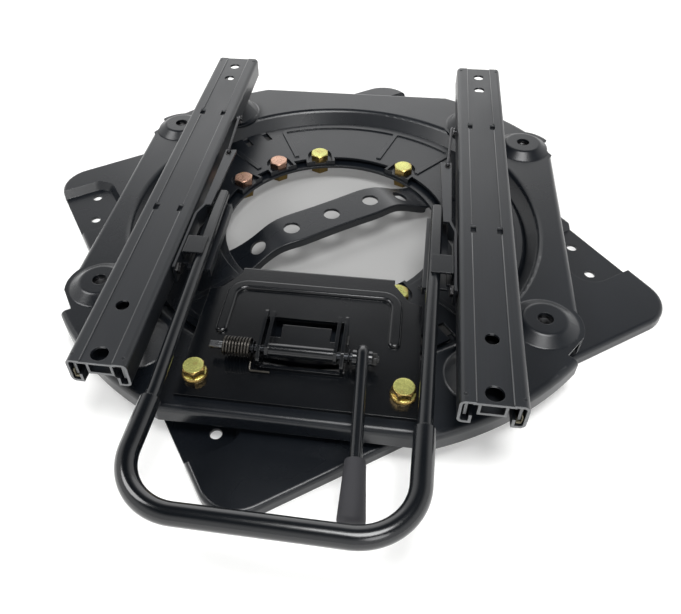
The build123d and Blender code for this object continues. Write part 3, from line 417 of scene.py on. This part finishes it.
def plated(name, colour, gold_and_side_shade, roughness=0.28, pink=None):
    """Zinc plate: greenish where it faces up and a darker gold on the flats, partly the plate's own hue and
    partly painted shade on the sides, with drifting hue and small stains.

    Left of PINK_LIMIT the plate has turned pink, with its sides darkened as painted shade.
    """
    look = Shading(name)
    drift = look.noise(70.0, 3.0, 0.6)
    stain = look.noise(420.0, 3.0, 0.6)
    upward = look.spread(look.facing("Z"), 0.0, 1.0, *FACING_UP)
    top = look.ramp(drift, ((0.3, colour), (0.55, shade(colour, 0.85)), (0.7, gold_and_side_shade)))
    # Painted shade: faces that turn away from up take the darker gold
    base = look.mix(upward, gold_and_side_shade, top)
    if pink:
        turned = look.ramp(drift, ((0.3, pink), (0.6, shade(pink, 0.75)), (0.75, gold_and_side_shade)))
        leftward = look.spread(look.part_of(look.coordinates, "X"), 1.0, 0.0, *PINK_LIMIT)
        # Painted shade: the sides of the pink bolts are a darker pink
        base = look.mix(leftward, base, look.mix(upward, shade(pink, 0.5), turned))
    look.give("Base Color", look.mix(look.spread(stain, 0.0, 0.4, 0.64, 0.78), base, shade(gold_and_side_shade, 0.4)))
    look.around(stain, roughness, 0.06, 0.1)
    look.give("Normal", look.bump(stain, 0.05, 0.0002, look.soft_edges(BOLT_EDGE_RADIUS)))
    look.give("Metallic", look.spread(upward, *PLATE_METAL, 0.0, 1.0))
    return look.material


def bare_steel(name, colour, roughness, tip=None):
    """Oiled or blackened steel. Left of BRIGHT_TIP it takes the colour of the tip."""
    look = Shading(name)
    drift = look.noise(120.0, 3.0, 0.6)
    base = look.ramp(drift, ((0.3, shade(colour, 0.7)), (0.7, shade(colour, 1.3))))
    if tip:
        base = look.mix(look.spread(look.part_of(look.coordinates, "X"), 1.0, 0.0, *BRIGHT_TIP), base, tip)
    look.give("Base Color", base)
    look.around(drift, roughness, 0.06, 0.1)
    look.give("Normal", look.soft_edges(BOLT_EDGE_RADIUS))
    look.give("Metallic", 1.0)
    return look.material


def moulded(name, colour, roughness):
    """Moulded plastic with a faint grain."""
    look = Shading(name)
    grain = look.noise(1400.0, 2.0, 0.6)
    broad = look.noise(30.0)
    look.give("Base Color", look.ramp(broad, ((0.3, shade(colour, 0.85)), (0.7, shade(colour, 1.2)))))
    look.around(grain, roughness, 0.04, 0.08)
    look.give("Normal", look.bump(grain, 0.15, 0.0003))
    return look.material


class SWIVEL_OT_finishes(Operator):
    """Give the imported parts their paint, plate and plastic"""
    bl_idname = "swivel.finishes"
    bl_label = "Finishes"

    def execute(self, context):
        settings = context.scene.swivel_finish
        pressing = tuple(settings.paint)
        coat = tuple(settings.rail)
        plating = tuple(settings.plating)
        gold_and_side_shade = tuple(settings.gold_and_side_shade)
        paint = powder_paint("pressing_paint", pressing, settings.paint_roughness)
        # Latch parts: a glossier paint, with its colour darkened as painted shade
        latch = powder_paint("latch_paint_shaded", shade(pressing, LATCH_PAINTED_SHADE_SHARE), 0.2, 0.3, 0.2)
        rail = rail_coat("rail_coat", coat, 0.38, CUT_STEEL)
        lever = rail_coat("lever_coat", coat, 0.34)
        handle = powder_paint("handle_paint", tuple(settings.handle), 0.17, 0.2, 0.3)
        steel = bare_steel("rod_steel", ROD_STEEL, 0.3)
        rod = bare_steel("pivot_steel", PIVOT_STEEL, 0.28, PIVOT_TIP)
        spring = bare_steel("spring_steel", tuple(settings.spring), 0.3)
        bolts = plated("yellow_plate", plating, gold_and_side_shade, pink=tuple(settings.copper))
        flange_bolts = plated("flange_plate", plating, gold_and_side_shade, 0.24)
        # Painted shade: the nuts take a darkened copy of the plating, as if in shadow
        shaded_nuts = plated("shaded_nut_plate", shade(plating, NUT_PAINTED_SHADE_SHARE), shade(gold_and_side_shade, NUT_PAINTED_SHADE_SHARE), 0.45)
        grip = moulded("grip_plastic", tuple(settings.grip), 0.45)
        shoe = moulded("shoe_plastic", SHOE_PLASTIC, 0.5)
        # Only added pieces wear these two
        # Painted highlight: the ridges wear a much paler copy of the rail coat
        rail_coat("ridge_highlight_coat", RIDGE_PAINTED_HIGHLIGHT, 0.3)
        plated("stop_plate", STOP_PLATE, STOP_GOLD, 0.4)
        groups = (
            (paint, ("base_plate", "lock_ring", "cable_strap", "turntable_plate")),
            (latch, ("latch_plate", "latch_bracket", "catch_pawl")),
            (rail, ("upper_rail_left", "upper_rail_right", "lower_rail_left", "lower_rail_right")),
            (lever, ("rail_spacers", "lock_lever_left", "lock_lever_right")),
            (handle, ("handle_tube", "handle_leg_left", "handle_leg_right", "lever_clip_left",
                      "lever_clip_right", "release_lever")),
            (rod, ("pivot_rod",)),
            (steel, ("hinge_pin_left", "hinge_pin_right", "wire_spring_left", "wire_spring_right",
                     "rail_bolts", "rail_nuts", "seat_nuts")),
            (spring, ("latch_spring",)),
            (bolts, ("ring_bolts",)),
            (flange_bolts, ("latch_bolts",)),
            (shaded_nuts, ("ring_nuts", "latch_nuts")),
            (grip, ("lever_grip",)),
            (shoe, ("slide_shoes_left", "slide_shoes_right", "lower_slide_ring", "upper_slide_ring")),
        )
        for material, names in groups:
            for name in names:
                for slot in nodes[name].material_slots:
                    slot.material = material
        return {"FINISHED"}


# Modelling

def deselect_all():
    bpy.ops.object.select_all(action="DESELECT")


def take(piece):
    """Select one piece and make it the active one."""
    deselect_all()
    piece.select_set(True)
    bpy.context.view_layer.objects.active = piece


def choose(piece, kind, parts, test):
    """Select the points or edges of a mesh that pass the test, and stay in edit mode."""
    bpy.ops.object.mode_set(mode="EDIT")
    bpy.ops.mesh.select_mode(type=kind)
    bpy.ops.mesh.select_all(action="DESELECT")
    bpy.ops.object.mode_set(mode="OBJECT")
    for part in parts(piece.data):
        part.select = test(part)
    bpy.ops.object.mode_set(mode="EDIT")


def take_points(piece, test):
    """Select the points that lie where the test says."""
    choose(piece, "VERT", lambda mesh: mesh.vertices, lambda point: test(point.co))


def take_edges(piece, test):
    """Select the edges whose two ends pass the test."""
    def both_ends(edge):
        return test(*(piece.data.vertices[number].co for number in edge.vertices))

    choose(piece, "EDGE", lambda mesh: mesh.edges, both_ends)


def slice_at(axis, places):
    """Cut the whole mesh across one axis at each place."""
    for place in places:
        point = [0.0, 0.0, 0.0]
        normal = [0.0, 0.0, 0.0]
        point[axis] = place
        normal[axis] = 1.0
        bpy.ops.mesh.select_all(action="SELECT")
        bpy.ops.mesh.bisect(plane_co=point, plane_no=normal)


def extrude(move):
    bpy.ops.mesh.extrude_region_move(TRANSFORM_OT_translate={"value": move})


def both_ways(values):
    return [sign * value for value in values for sign in (-1, 1)]


def apply_modifier(kind, **values):
    """Add one modifier to the active piece with these settings and apply it."""
    piece = bpy.context.object
    bpy.ops.object.modifier_add(type=kind)
    modifier = piece.modifiers[-1]
    for key, value in values.items():
        setattr(modifier, key, value)
    bpy.ops.object.modifier_apply(modifier=modifier.name)


def round_edges(width, segments, angle):
    """Round the edges of the active piece that are sharper than an angle in degrees."""
    apply_modifier("BEVEL", width=width, segments=segments, limit_method="ANGLE",
                   angle_limit=math.radians(angle))


def turn_faces_out():
    """Make the faces of the active piece point outwards."""
    bpy.ops.object.mode_set(mode="EDIT")
    bpy.ops.mesh.select_all(action="SELECT")
    bpy.ops.mesh.normals_make_consistent(inside=False)
    bpy.ops.object.mode_set(mode="OBJECT")


def wound(pitch, turns, steps):
    """Wind the active outline round Z and close its two ends."""
    apply_modifier("SCREW", axis="Z", angle=2 * math.pi, screw_offset=pitch, iterations=turns, steps=steps,
                   render_steps=steps)
    bpy.ops.object.mode_set(mode="EDIT")
    bpy.ops.mesh.select_all(action="SELECT")
    bpy.ops.mesh.remove_doubles(threshold=MERGE_GAP)
    bpy.ops.mesh.fill_holes(sides=0)
    bpy.ops.object.mode_set(mode="OBJECT")
    turn_faces_out()


def apply_place(piece):
    """Put the piece's place into its mesh."""
    take(piece)
    bpy.ops.object.transform_apply(location=True, rotation=True, scale=True)


def copy_of(piece):
    """A copy with its own mesh."""
    take(piece)
    bpy.ops.object.duplicate(linked=False)
    return bpy.context.object


def joined(pieces):
    """One piece out of several."""
    take(pieces[0])
    for piece in pieces:
        piece.select_set(True)
    bpy.ops.object.join()
    return bpy.context.object


def hand_over(piece, name, body, material, angle=40.0):
    """Name, smooth and finish one piece and let it ride on its body."""
    apply_place(piece)
    piece.name = name
    piece.data.name = name
    bpy.ops.object.shade_smooth_by_angle(angle=math.radians(angle))
    piece.data.materials.clear()
    piece.data.materials.append(bpy.data.materials[material])
    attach(piece, body)


# Stage

def seen_directly(tree, otherwise, seen):
    """One value for the camera, reflections and transmitted rays, and another for light on the object."""
    rays = tree.nodes.new("ShaderNodeLightPath")
    together = rays.outputs["Is Camera Ray"]
    for name in ("Is Glossy Ray", "Is Transmission Ray"):
        either = tree.nodes.new("ShaderNodeMath")
        either.operation = "MAXIMUM"
        tree.links.new(together, either.inputs[0])
        tree.links.new(rays.outputs[name], either.inputs[1])
        together = either.outputs["Value"]
    return spread_in(tree, together, otherwise, seen, 0.0, 1.0)


def sky_strength(tree):
    """Bright near the horizon, as pale studio walls are, and darker overhead."""
    direction = tree.nodes.new("ShaderNodeTexCoord")
    parts = tree.nodes.new("ShaderNodeSeparateXYZ")
    tree.links.new(direction.outputs["Generated"], parts.inputs["Vector"])
    return spread_in(tree, parts.outputs["Z"], WALL_STRENGTH, CEILING_STRENGTH, WALL_TOP, CEILING_START)


def floor_material(colour):
    """White to the camera and in reflections, with the object's shadow kept and painted shade darkening the
    floor inside the opening.
    """
    look = Shading("stage_floor")
    reach = look.add("ShaderNodeVectorMath", operation="LENGTH")
    look.link(look.coordinates, reach.inputs[0])
    distance = reach.outputs["Value"]
    start, end = OPENING_FADE
    # Painted shade: inside the opening the floor's colour and glow are darker, as if the base shaded it
    look.give("Base Color", look.ramp(distance, ((start, shade(colour, OPENING_SHADE)), (end, colour))))
    look.give("Roughness", 0.9)
    look.give("Specular IOR Level", 0.0)
    look.give("Emission Color", WHITE)
    strength = seen_directly(look.tree, 0.0, 1.0)
    for part in (look.spread(distance, FLOOR_GLOW, FAR_FLOOR_GLOW, *FLOOR_FADE),
                 look.spread(distance, OPENING_SHADE, 1.0, *OPENING_FADE)):
        product = look.add("ShaderNodeMath", operation="MULTIPLY")
        look.link(strength, product.inputs[0])
        look.link(part, product.inputs[1])
        strength = product.outputs["Value"]
    look.give("Emission Strength", strength)
    return look.material


class SWIVEL_OT_stage(Operator):
    """Lay the floor and set up the lamps, the world and the camera"""
    bl_idname = "swivel.stage"
    bl_label = "Stage"

    def execute(self, context):
        settings = context.scene.swivel_stage
        deselect_all()
        bpy.ops.mesh.primitive_plane_add(size=FLOOR_SIZE, location=(0.0, 0.0, FLOOR_LEVEL))
        floor = context.object
        floor.name = "stage_floor"
        apply_place(floor)
        floor.data.materials.append(floor_material(tuple(settings.floor)))

        world = context.scene.world or bpy.data.worlds.new("World")
        context.scene.world = world
        world.use_nodes = True
        tree = world.node_tree
        back = tree.nodes["Background"]
        back.inputs["Color"].default_value = WHITE
        tree.links.new(sky_strength(tree), back.inputs["Strength"])

        for name, place, width, share in LAMPS:
            turn = (Vector(LAMP_TARGET) - Vector(place)).to_track_quat("-Z", "Y").to_euler()
            bpy.ops.object.light_add(type="AREA", location=place, rotation=turn)
            lamp = context.object
            lamp.name = name
            lamp.data.shape = "DISK"
            lamp.data.size = width
            lamp.data.energy = settings.lamp_power * share

        place = (CAMERA_ACROSS, CAMERA_ALONG, settings.camera_height)
        bpy.ops.object.camera_add(location=place, rotation=CAMERA_TURN)
        camera = context.object
        camera.name = "photo_camera"
        camera.data.sensor_width = CAMERA_SENSOR
        camera.data.lens = CAMERA_LENS
        camera.data.shift_x, camera.data.shift_y = CAMERA_SHIFT
        camera.data.clip_start = CAMERA_NEAR
        context.scene.camera = camera
        context.scene.view_settings.view_transform = "Standard"
        return {"FINISHED"}


# Pieces

class SWIVEL_OT_strap(Operator):
    """Press the soft-bent strap with five holes that crosses the opening"""
    bl_idname = "swivel.strap"
    bl_label = "Cable strap"

    def execute(self, context):
        deselect_all()
        centre = (0.0, 0.0, STRAP_TOP)
        bpy.ops.mesh.primitive_plane_add(size=2 * STRAP_END, location=centre)
        strap = context.object
        apply_place(strap)
        bpy.ops.object.mode_set(mode="EDIT")
        bpy.ops.transform.resize(value=(1.0, STRAP_HALF_WIDTH / STRAP_END, 1.0), center_override=centre)
        slice_at(0, both_ways((STRAP_BEND, STRAP_FOOT)))
        take_points(strap, lambda point: abs(point.x) > STRAP_FOOT - SAME_PLACE)
        bpy.ops.transform.translate(value=(0.0, 0.0, STRAP_LOW - STRAP_TOP))
        slice_at(0, both_ways(STRAP_CUTS))
        slice_at(1, both_ways(STRAP_ROWS) + [0.0])
        for place, share in STRAP_WAIST:
            take_points(strap, lambda point: abs(abs(point.x) - place) < SAME_PLACE)
            bpy.ops.transform.resize(value=(1.0, share, 1.0), center_override=centre)
        take_edges(strap, lambda first, second: self.on_rim(strap, first, second))
        for drop in STRAP_RIM:
            extrude((0.0, 0.0, -drop))
        bpy.ops.object.mode_set(mode="OBJECT")
        apply_modifier("SUBSURF", levels=3, render_levels=3)
        apply_modifier("SOLIDIFY", thickness=STRAP_SHEET, offset=-1.0, use_even_offset=True)
        punch = self.punches(context)
        take(strap)
        apply_modifier("BOOLEAN", operation="DIFFERENCE", object=punch, solver="EXACT")
        bpy.data.objects.remove(punch)
        strap.rotation_euler.z = math.radians(BASE_TURN)
        hand_over(strap, "soft_strap", "base", "pressing_paint", 50.0)
        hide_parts("cable_strap")
        return {"FINISHED"}

    @staticmethod
    def on_rim(strap, first, second):
        """Whether an edge runs along one of the strap's two long sides, short of its ends."""
        for point in (first, second):
            row = [abs(other.co.y) for other in strap.data.vertices
                   if abs(other.co.x - point.x) < SAME_PLACE]
            if abs(point.y) < max(row) - SAME_PLACE / 2:
                return False
            if abs(point.y) < STRAP_RIM_START or abs(point.x) > STRAP_RIM_END:
                return False
        return first.y * second.y > 0 and abs(first.x - second.x) > SAME_PLACE

    @staticmethod
    def punches(context):
        """Round punches for the five holes, as one piece."""
        cutters = []
        end, level = STRAP_END_HOLE
        places = ((-end, level, -STRAP_SLOPE), (-STRAP_HOLE_PITCH, STRAP_TOP, 0.0), (0.0, STRAP_TOP, 0.0),
                  (STRAP_HOLE_PITCH, STRAP_TOP, 0.0), (end, level, STRAP_SLOPE))
        for along, height, tilt in places:
            bpy.ops.mesh.primitive_cylinder_add(
                vertices=64, radius=context.scene.swivel_pieces.strap_hole, depth=8 * STRAP_SHEET,
                location=(along, 0.0, height), rotation=(0.0, math.radians(tilt), 0.0))
            cutters.append(context.object)
        return joined(cutters)


class SWIVEL_OT_grip(Operator):
    """Mould the tapered grip of the release lever"""
    bl_idname = "swivel.grip"
    bl_label = "Lever grip"

    def execute(self, context):
        deselect_all()
        start = Vector(GRIP_START)
        end = Vector(GRIP_END)
        length = (end - start).length
        turn = (end - start).to_track_quat("Z", "Y").to_euler()
        bpy.ops.mesh.primitive_cylinder_add(vertices=48, radius=GRIP_START_RADIUS, depth=length,
                                            location=(start + end) / 2, rotation=turn)
        grip = context.object
        take_points(grip, lambda point: point.z > 0)
        bpy.ops.transform.resize(value=(GRIP_END_RADIUS / GRIP_START_RADIUS,) * 3, center_override=end)
        bpy.ops.mesh.bevel(offset=GRIP_END_ROUND, segments=6, affect="EDGES")
        take_points(grip, lambda point: point.z < MERGE_GAP - length / 2)
        bpy.ops.mesh.inset(thickness=GRIP_START_RADIUS - LEVER_RADIUS)
        extrude((end - start) * GRIP_BORE_SHARE)
        bpy.ops.object.mode_set(mode="OBJECT")
        round_edges(GRIP_EDGE_ROUND, 3, 50.0)
        hand_over(grip, "moulded_grip", "release", "grip_plastic", 35.0)
        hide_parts("lever_grip")
        return {"FINISHED"}


class SWIVEL_OT_threads(Operator):
    """Cut the threads that show in the four outer bosses"""
    bl_idname = "swivel.threads"
    bl_label = "Boss threads"

    def execute(self, context):
        deselect_all()
        bpy.ops.mesh.primitive_circle_add(vertices=3, radius=THREAD_PITCH * THREAD_TOOTH_SHARE,
                                          fill_type="NOTHING", location=(THREAD_RADIUS, 0.0, THREAD_BOTTOM),
                                          rotation=(math.pi / 2, 0.0, 0.0))
        thread = context.object
        apply_place(thread)
        wound(THREAD_PITCH, THREAD_TURNS, THREAD_STEPS)
        threads = [thread] + [copy_of(thread) for place in BOSS_PLACES[1:]]
        for number, (piece, (across, along)) in enumerate(zip(threads, BOSS_PLACES), 1):
            piece.location = (across, along, 0.0)
            hand_over(piece, f"boss_thread_{number}", "turntable", "rod_steel", 25.0)
        return {"FINISHED"}


class SWIVEL_OT_rod_fittings(Operator):
    """Turn the washers and the crimped end of the pivot rod"""
    bl_idname = "swivel.rod_fittings"
    bl_label = "Rod fittings"

    def execute(self, context):
        crossways = (0.0, math.pi / 2, 0.0)
        for name, across in WASHERS:
            deselect_all()
            bpy.ops.mesh.primitive_torus_add(major_radius=WASHER_RADIUS, minor_radius=WASHER_SECTION,
                                             major_segments=40, minor_segments=10,
                                             location=(across, *PIVOT), rotation=crossways)
            washer = context.object
            washer.scale.z = WASHER_FLATTEN
            apply_place(washer)
            round_edges(WASHER_EDGE, 2, 30.0)
            hand_over(washer, name, "release", "pivot_steel")
        deselect_all()
        bpy.ops.mesh.primitive_cylinder_add(vertices=6, radius=CRIMP_RADIUS, depth=CRIMP_DEPTH,
                                            location=(CRIMP_PLACE, *PIVOT), rotation=crossways)
        crimp = context.object
        take_points(crimp, lambda point: point.z > 0)
        bpy.ops.mesh.inset(thickness=CRIMP_INSET)
        extrude((CRIMP_TIP, 0.0, 0.0))
        bpy.ops.object.mode_set(mode="OBJECT")
        round_edges(CRIMP_EDGE, 3, 30.0)
        hand_over(crimp, "rod_crimp", "release", "handle_paint")
        return {"FINISHED"}


class SWIVEL_OT_flange_bolts(Operator):
    """Forge the two flange bolts of the latch plate, with chamfered hexagon heads"""
    bl_idname = "swivel.flange_bolts"
    bl_label = "Flange bolts"

    def execute(self, context):
        first = joined([self.head(context), self.flange(context), self.shank(context)])
        apply_place(first)
        bolts = (first, copy_of(first))
        for bolt, (side, name), (across, along, turn) in zip(bolts, SIDES, LATCH_BOLT_PLACES):
            bolt.location = (across, along, 0.0)
            bolt.rotation_euler.z = math.radians(turn)
            hand_over(bolt, f"flange_bolt_{name}", "turntable", "flange_plate", 25.0)
        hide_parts("latch_bolts")
        return {"FINISHED"}

    @staticmethod
    def round_bar(context, vertices, radius, bottom, top):
        """A bar on the Z axis, from one height to another."""
        deselect_all()
        bpy.ops.mesh.primitive_cylinder_add(vertices=vertices, radius=radius, depth=top - bottom,
                                            location=(0.0, 0.0, (bottom + top) / 2))
        return context.object

    def head(self, context):
        """Hexagon head whose corners are turned down by a chamfer."""
        corner = context.scene.swivel_pieces.bolt_flats / math.sqrt(3.0)
        bottom = LATCH_PLATE_TOP + BOLT_FLANGE / 2
        top = LATCH_PLATE_TOP + BOLT_HEAD
        blank = self.round_bar(context, 96, corner, bottom, top)
        take_points(blank, lambda point: point.z > 0)
        bpy.ops.mesh.bevel(offset=BOLT_CHAMFER, segments=1, affect="EDGES")
        bpy.ops.object.mode_set(mode="OBJECT")
        hexagon = self.round_bar(context, 6, corner, bottom, top)
        apply_modifier("BOOLEAN", operation="INTERSECT", object=blank, solver="EXACT")
        bpy.data.objects.remove(blank)
        round_edges(BOLT_EDGE, 2, 24.0)
        return hexagon

    def flange(self, context):
        """Round flange under the head, narrower at its top."""
        top = LATCH_PLATE_TOP + BOLT_FLANGE
        flange = self.round_bar(context, 72, BOLT_FLANGE_RADIUS, LATCH_PLATE_TOP, top)
        apply_place(flange)
        take_points(flange, lambda point: point.z > top - BOLT_FLANGE / 2)
        bpy.ops.transform.resize(value=(BOLT_FLANGE_TAPER, BOLT_FLANGE_TAPER, 1.0),
                                 center_override=(0.0, 0.0, top))
        bpy.ops.object.mode_set(mode="OBJECT")
        round_edges(BOLT_FLANGE_EDGE, 3, 30.0)
        return flange

    def shank(self, context):
        """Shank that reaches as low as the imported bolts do."""
        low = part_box("latch_bolts")[0][2]
        shank = self.round_bar(context, 32, BOLT_SHANK_RADIUS, low, LATCH_PLATE_TOP + BOLT_OVERLAP)
        take_points(shank, lambda point: point.z < 0)
        bpy.ops.mesh.bevel(offset=BOLT_SHANK_CHAMFER, segments=1, affect="EDGES")
        bpy.ops.object.mode_set(mode="OBJECT")
        return shank


class SWIVEL_OT_welds(Operator):
    """Lay the weld beads at the feet of the latch bracket and at the lock levers"""
    bl_idname = "swivel.welds"
    bl_label = "Weld beads"

    def execute(self, context):
        bead = self.bead(context, context.scene.swivel_pieces.bead_width)
        for name, place, turn, body, slot in WELDS:
            piece = copy_of(bead)
            piece.location = place
            piece.rotation_euler.z = math.radians(turn)
            hand_over(piece, name, body, "handle_paint", 60.0)
        bpy.data.objects.remove(bead)
        return {"FINISHED"}

    @staticmethod
    def bead(context, width):
        """One bead of overlapping ripples along X."""
        deselect_all()
        step = width * BEAD_STEP_SHARE
        bpy.ops.mesh.primitive_uv_sphere_add(segments=16, ring_count=10, radius=width / 2,
                                             location=(-step * (BEAD_RIPPLES - 1) / 2, 0.0, 0.0))
        bead = context.object
        bead.scale = BEAD_SHAPE
        apply_place(bead)
        apply_modifier("ARRAY", count=BEAD_RIPPLES, use_relative_offset=False, use_constant_offset=True,
                       constant_offset_displace=(step, 0.0, 0.0))
        apply_modifier("REMESH", mode="VOXEL", voxel_size=width / BEAD_VOXELS)
        apply_modifier("SMOOTH", factor=0.5, iterations=3)
        return bead


class SWIVEL_OT_wire_ends(Operator):
    """Wind the hooked ends of the two wires and roll the rims of their eyes"""
    bl_idname = "swivel.wire_ends"
    bl_label = "Wire ends"

    def execute(self, context):
        for side, name in SIDES:
            deselect_all()
            bpy.ops.mesh.primitive_circle_add(vertices=12, radius=WIRE_RADIUS, fill_type="NOTHING",
                                              location=(HOOK_RADIUS, 0.0, -HOOK_DROP),
                                              rotation=(math.pi / 2, 0.0, 0.0))
            hook = context.object
            apply_place(hook)
            wound(HOOK_PITCH, HOOK_TURNS, HOOK_STEPS)
            across, along, height = WIRE_ANCHOR
            hook.rotation_euler = (math.radians(HOOK_TILT), math.radians(90.0 * side), 0.0)
            hook.location = (side * across, along, height)
            hand_over(hook, f"wire_hook_{name}", f"wire_{name}", "rod_steel", 50.0)

            across, along, height = WIRE_EYE
            deselect_all()
            bpy.ops.mesh.primitive_torus_add(major_radius=EYE_RADIUS, minor_radius=EYE_RIM,
                                             major_segments=40, minor_segments=10,
                                             location=(side * across, along, height))
            rim = context.object
            rim.scale = EYE_SHAPE
            hand_over(rim, f"eye_rim_{name}", "handle", "handle_paint")
        return {"FINISHED"}


class SWIVEL_OT_rail_ridges(Operator):
    """Roll the two thin ridges along the top of each upper rail"""
    bl_idname = "swivel.rail_ridges"
    bl_label = "Rail ridges"

    def execute(self, context):
        for side, name in SIDES:
            ridges = []
            for gap in (-RIDGE_FROM_MIDDLE, RIDGE_FROM_MIDDLE):
                for front, rear in RIDGE_RUNS:
                    ridges.append(self.ridge(context, side * RAIL_MIDDLE + gap, front, rear))
            hand_over(joined(ridges), f"rail_ridges_{name}", f"upper_{name}", "ridge_highlight_coat",
                      50.0)
        return {"FINISHED"}

    @staticmethod
    def ridge(context, across, front, rear):
        """One ridge with tapered ends."""
        deselect_all()
        bpy.ops.mesh.primitive_cylinder_add(vertices=12, radius=context.scene.swivel_pieces.ridge_radius,
                                            depth=rear - front,
                                            location=(across, (front + rear) / 2, RIDGE_HEIGHT),
                                            rotation=(math.pi / 2, 0.0, 0.0))
        ridge = context.object
        apply_place(ridge)
        bpy.ops.object.mode_set(mode="EDIT")
        slice_at(1, (front + RIDGE_TAPER, rear - RIDGE_TAPER))
        for end in (front, rear):
            take_points(ridge, lambda point: abs(point.y - end) < SAME_PLACE)
            bpy.ops.transform.resize(value=(RIDGE_TIP_SHARE, 1.0, RIDGE_TIP_SHARE),
                                     center_override=(across, end, RIDGE_HEIGHT))
        bpy.ops.object.mode_set(mode="OBJECT")
        return ridge


class SWIVEL_OT_rail_stops(Operator):
    """Fold the small plated end stops inside the outer channels of the rails"""
    bl_idname = "swivel.rail_stops"
    bl_label = "Rail end stops"

    def execute(self, context):
        across, along, height = STOP_PLACE
        for side, name in SIDES:
            deselect_all()
            bpy.ops.mesh.primitive_plane_add(size=STOP_LENGTH)
            stop = context.object
            bpy.ops.object.mode_set(mode="EDIT")
            bpy.ops.transform.resize(value=(STOP_WIDTH_SHARE, 1.0, 1.0), center_override=(0.0, 0.0, 0.0))
            take_edges(stop, lambda first, second: min(first.x, second.x) > 0)
            extrude(STOP_RISE)
            extrude(STOP_LIP)
            bpy.ops.object.mode_set(mode="OBJECT")
            apply_modifier("SOLIDIFY", thickness=STOP_SHEET, offset=0.0)
            round_edges(STOP_EDGE, 2, 40.0)
            stop.scale.x = side
            stop.location = (side * across, along, height)
            apply_place(stop)
            turn_faces_out()
            hand_over(stop, f"rail_stop_{name}", f"upper_{name}", "stop_plate")
        return {"FINISHED"}


class SWIVEL_PT_panel(Panel):
    bl_idname = "SWIVEL_PT_panel"
    bl_label = "Swivel Seat Base"
    bl_space_type = "VIEW_3D"
    bl_region_type = "UI"
    bl_category = "Swivel Base"

    def draw(self, context):
        scene = context.scene
        for group in (scene.swivel_finish, scene.swivel_pieces, scene.swivel_stage):
            for name in group.__annotations__:
                self.layout.prop(group, name)
        for operator in OPERATORS:
            self.layout.operator(operator.bl_idname)


OPERATORS = (
    SWIVEL_OT_stage,
    SWIVEL_OT_finishes,
    SWIVEL_OT_strap,
    SWIVEL_OT_grip,
    SWIVEL_OT_threads,
    SWIVEL_OT_rod_fittings,
    SWIVEL_OT_flange_bolts,
    SWIVEL_OT_welds,
    SWIVEL_OT_wire_ends,
    SWIVEL_OT_rail_ridges,
    SWIVEL_OT_rail_stops,
)
CLASSES = (FinishSettings, PieceSettings, StageSettings, *OPERATORS, SWIVEL_PT_panel)


def register():
    for item in CLASSES:
        bpy.utils.register_class(item)
    bpy.types.Scene.swivel_finish = PointerProperty(type=FinishSettings)
    bpy.types.Scene.swivel_pieces = PointerProperty(type=PieceSettings)
    bpy.types.Scene.swivel_stage = PointerProperty(type=StageSettings)


def unregister():
    del bpy.types.Scene.swivel_stage
    del bpy.types.Scene.swivel_pieces
    del bpy.types.Scene.swivel_finish
    for item in reversed(CLASSES):
        bpy.utils.unregister_class(item)


def main():
    register()
    for operator in OPERATORS:
        group, name = operator.bl_idname.split(".")
        getattr(getattr(bpy.ops, group), name)()


if __name__ == "__main__":
    main()
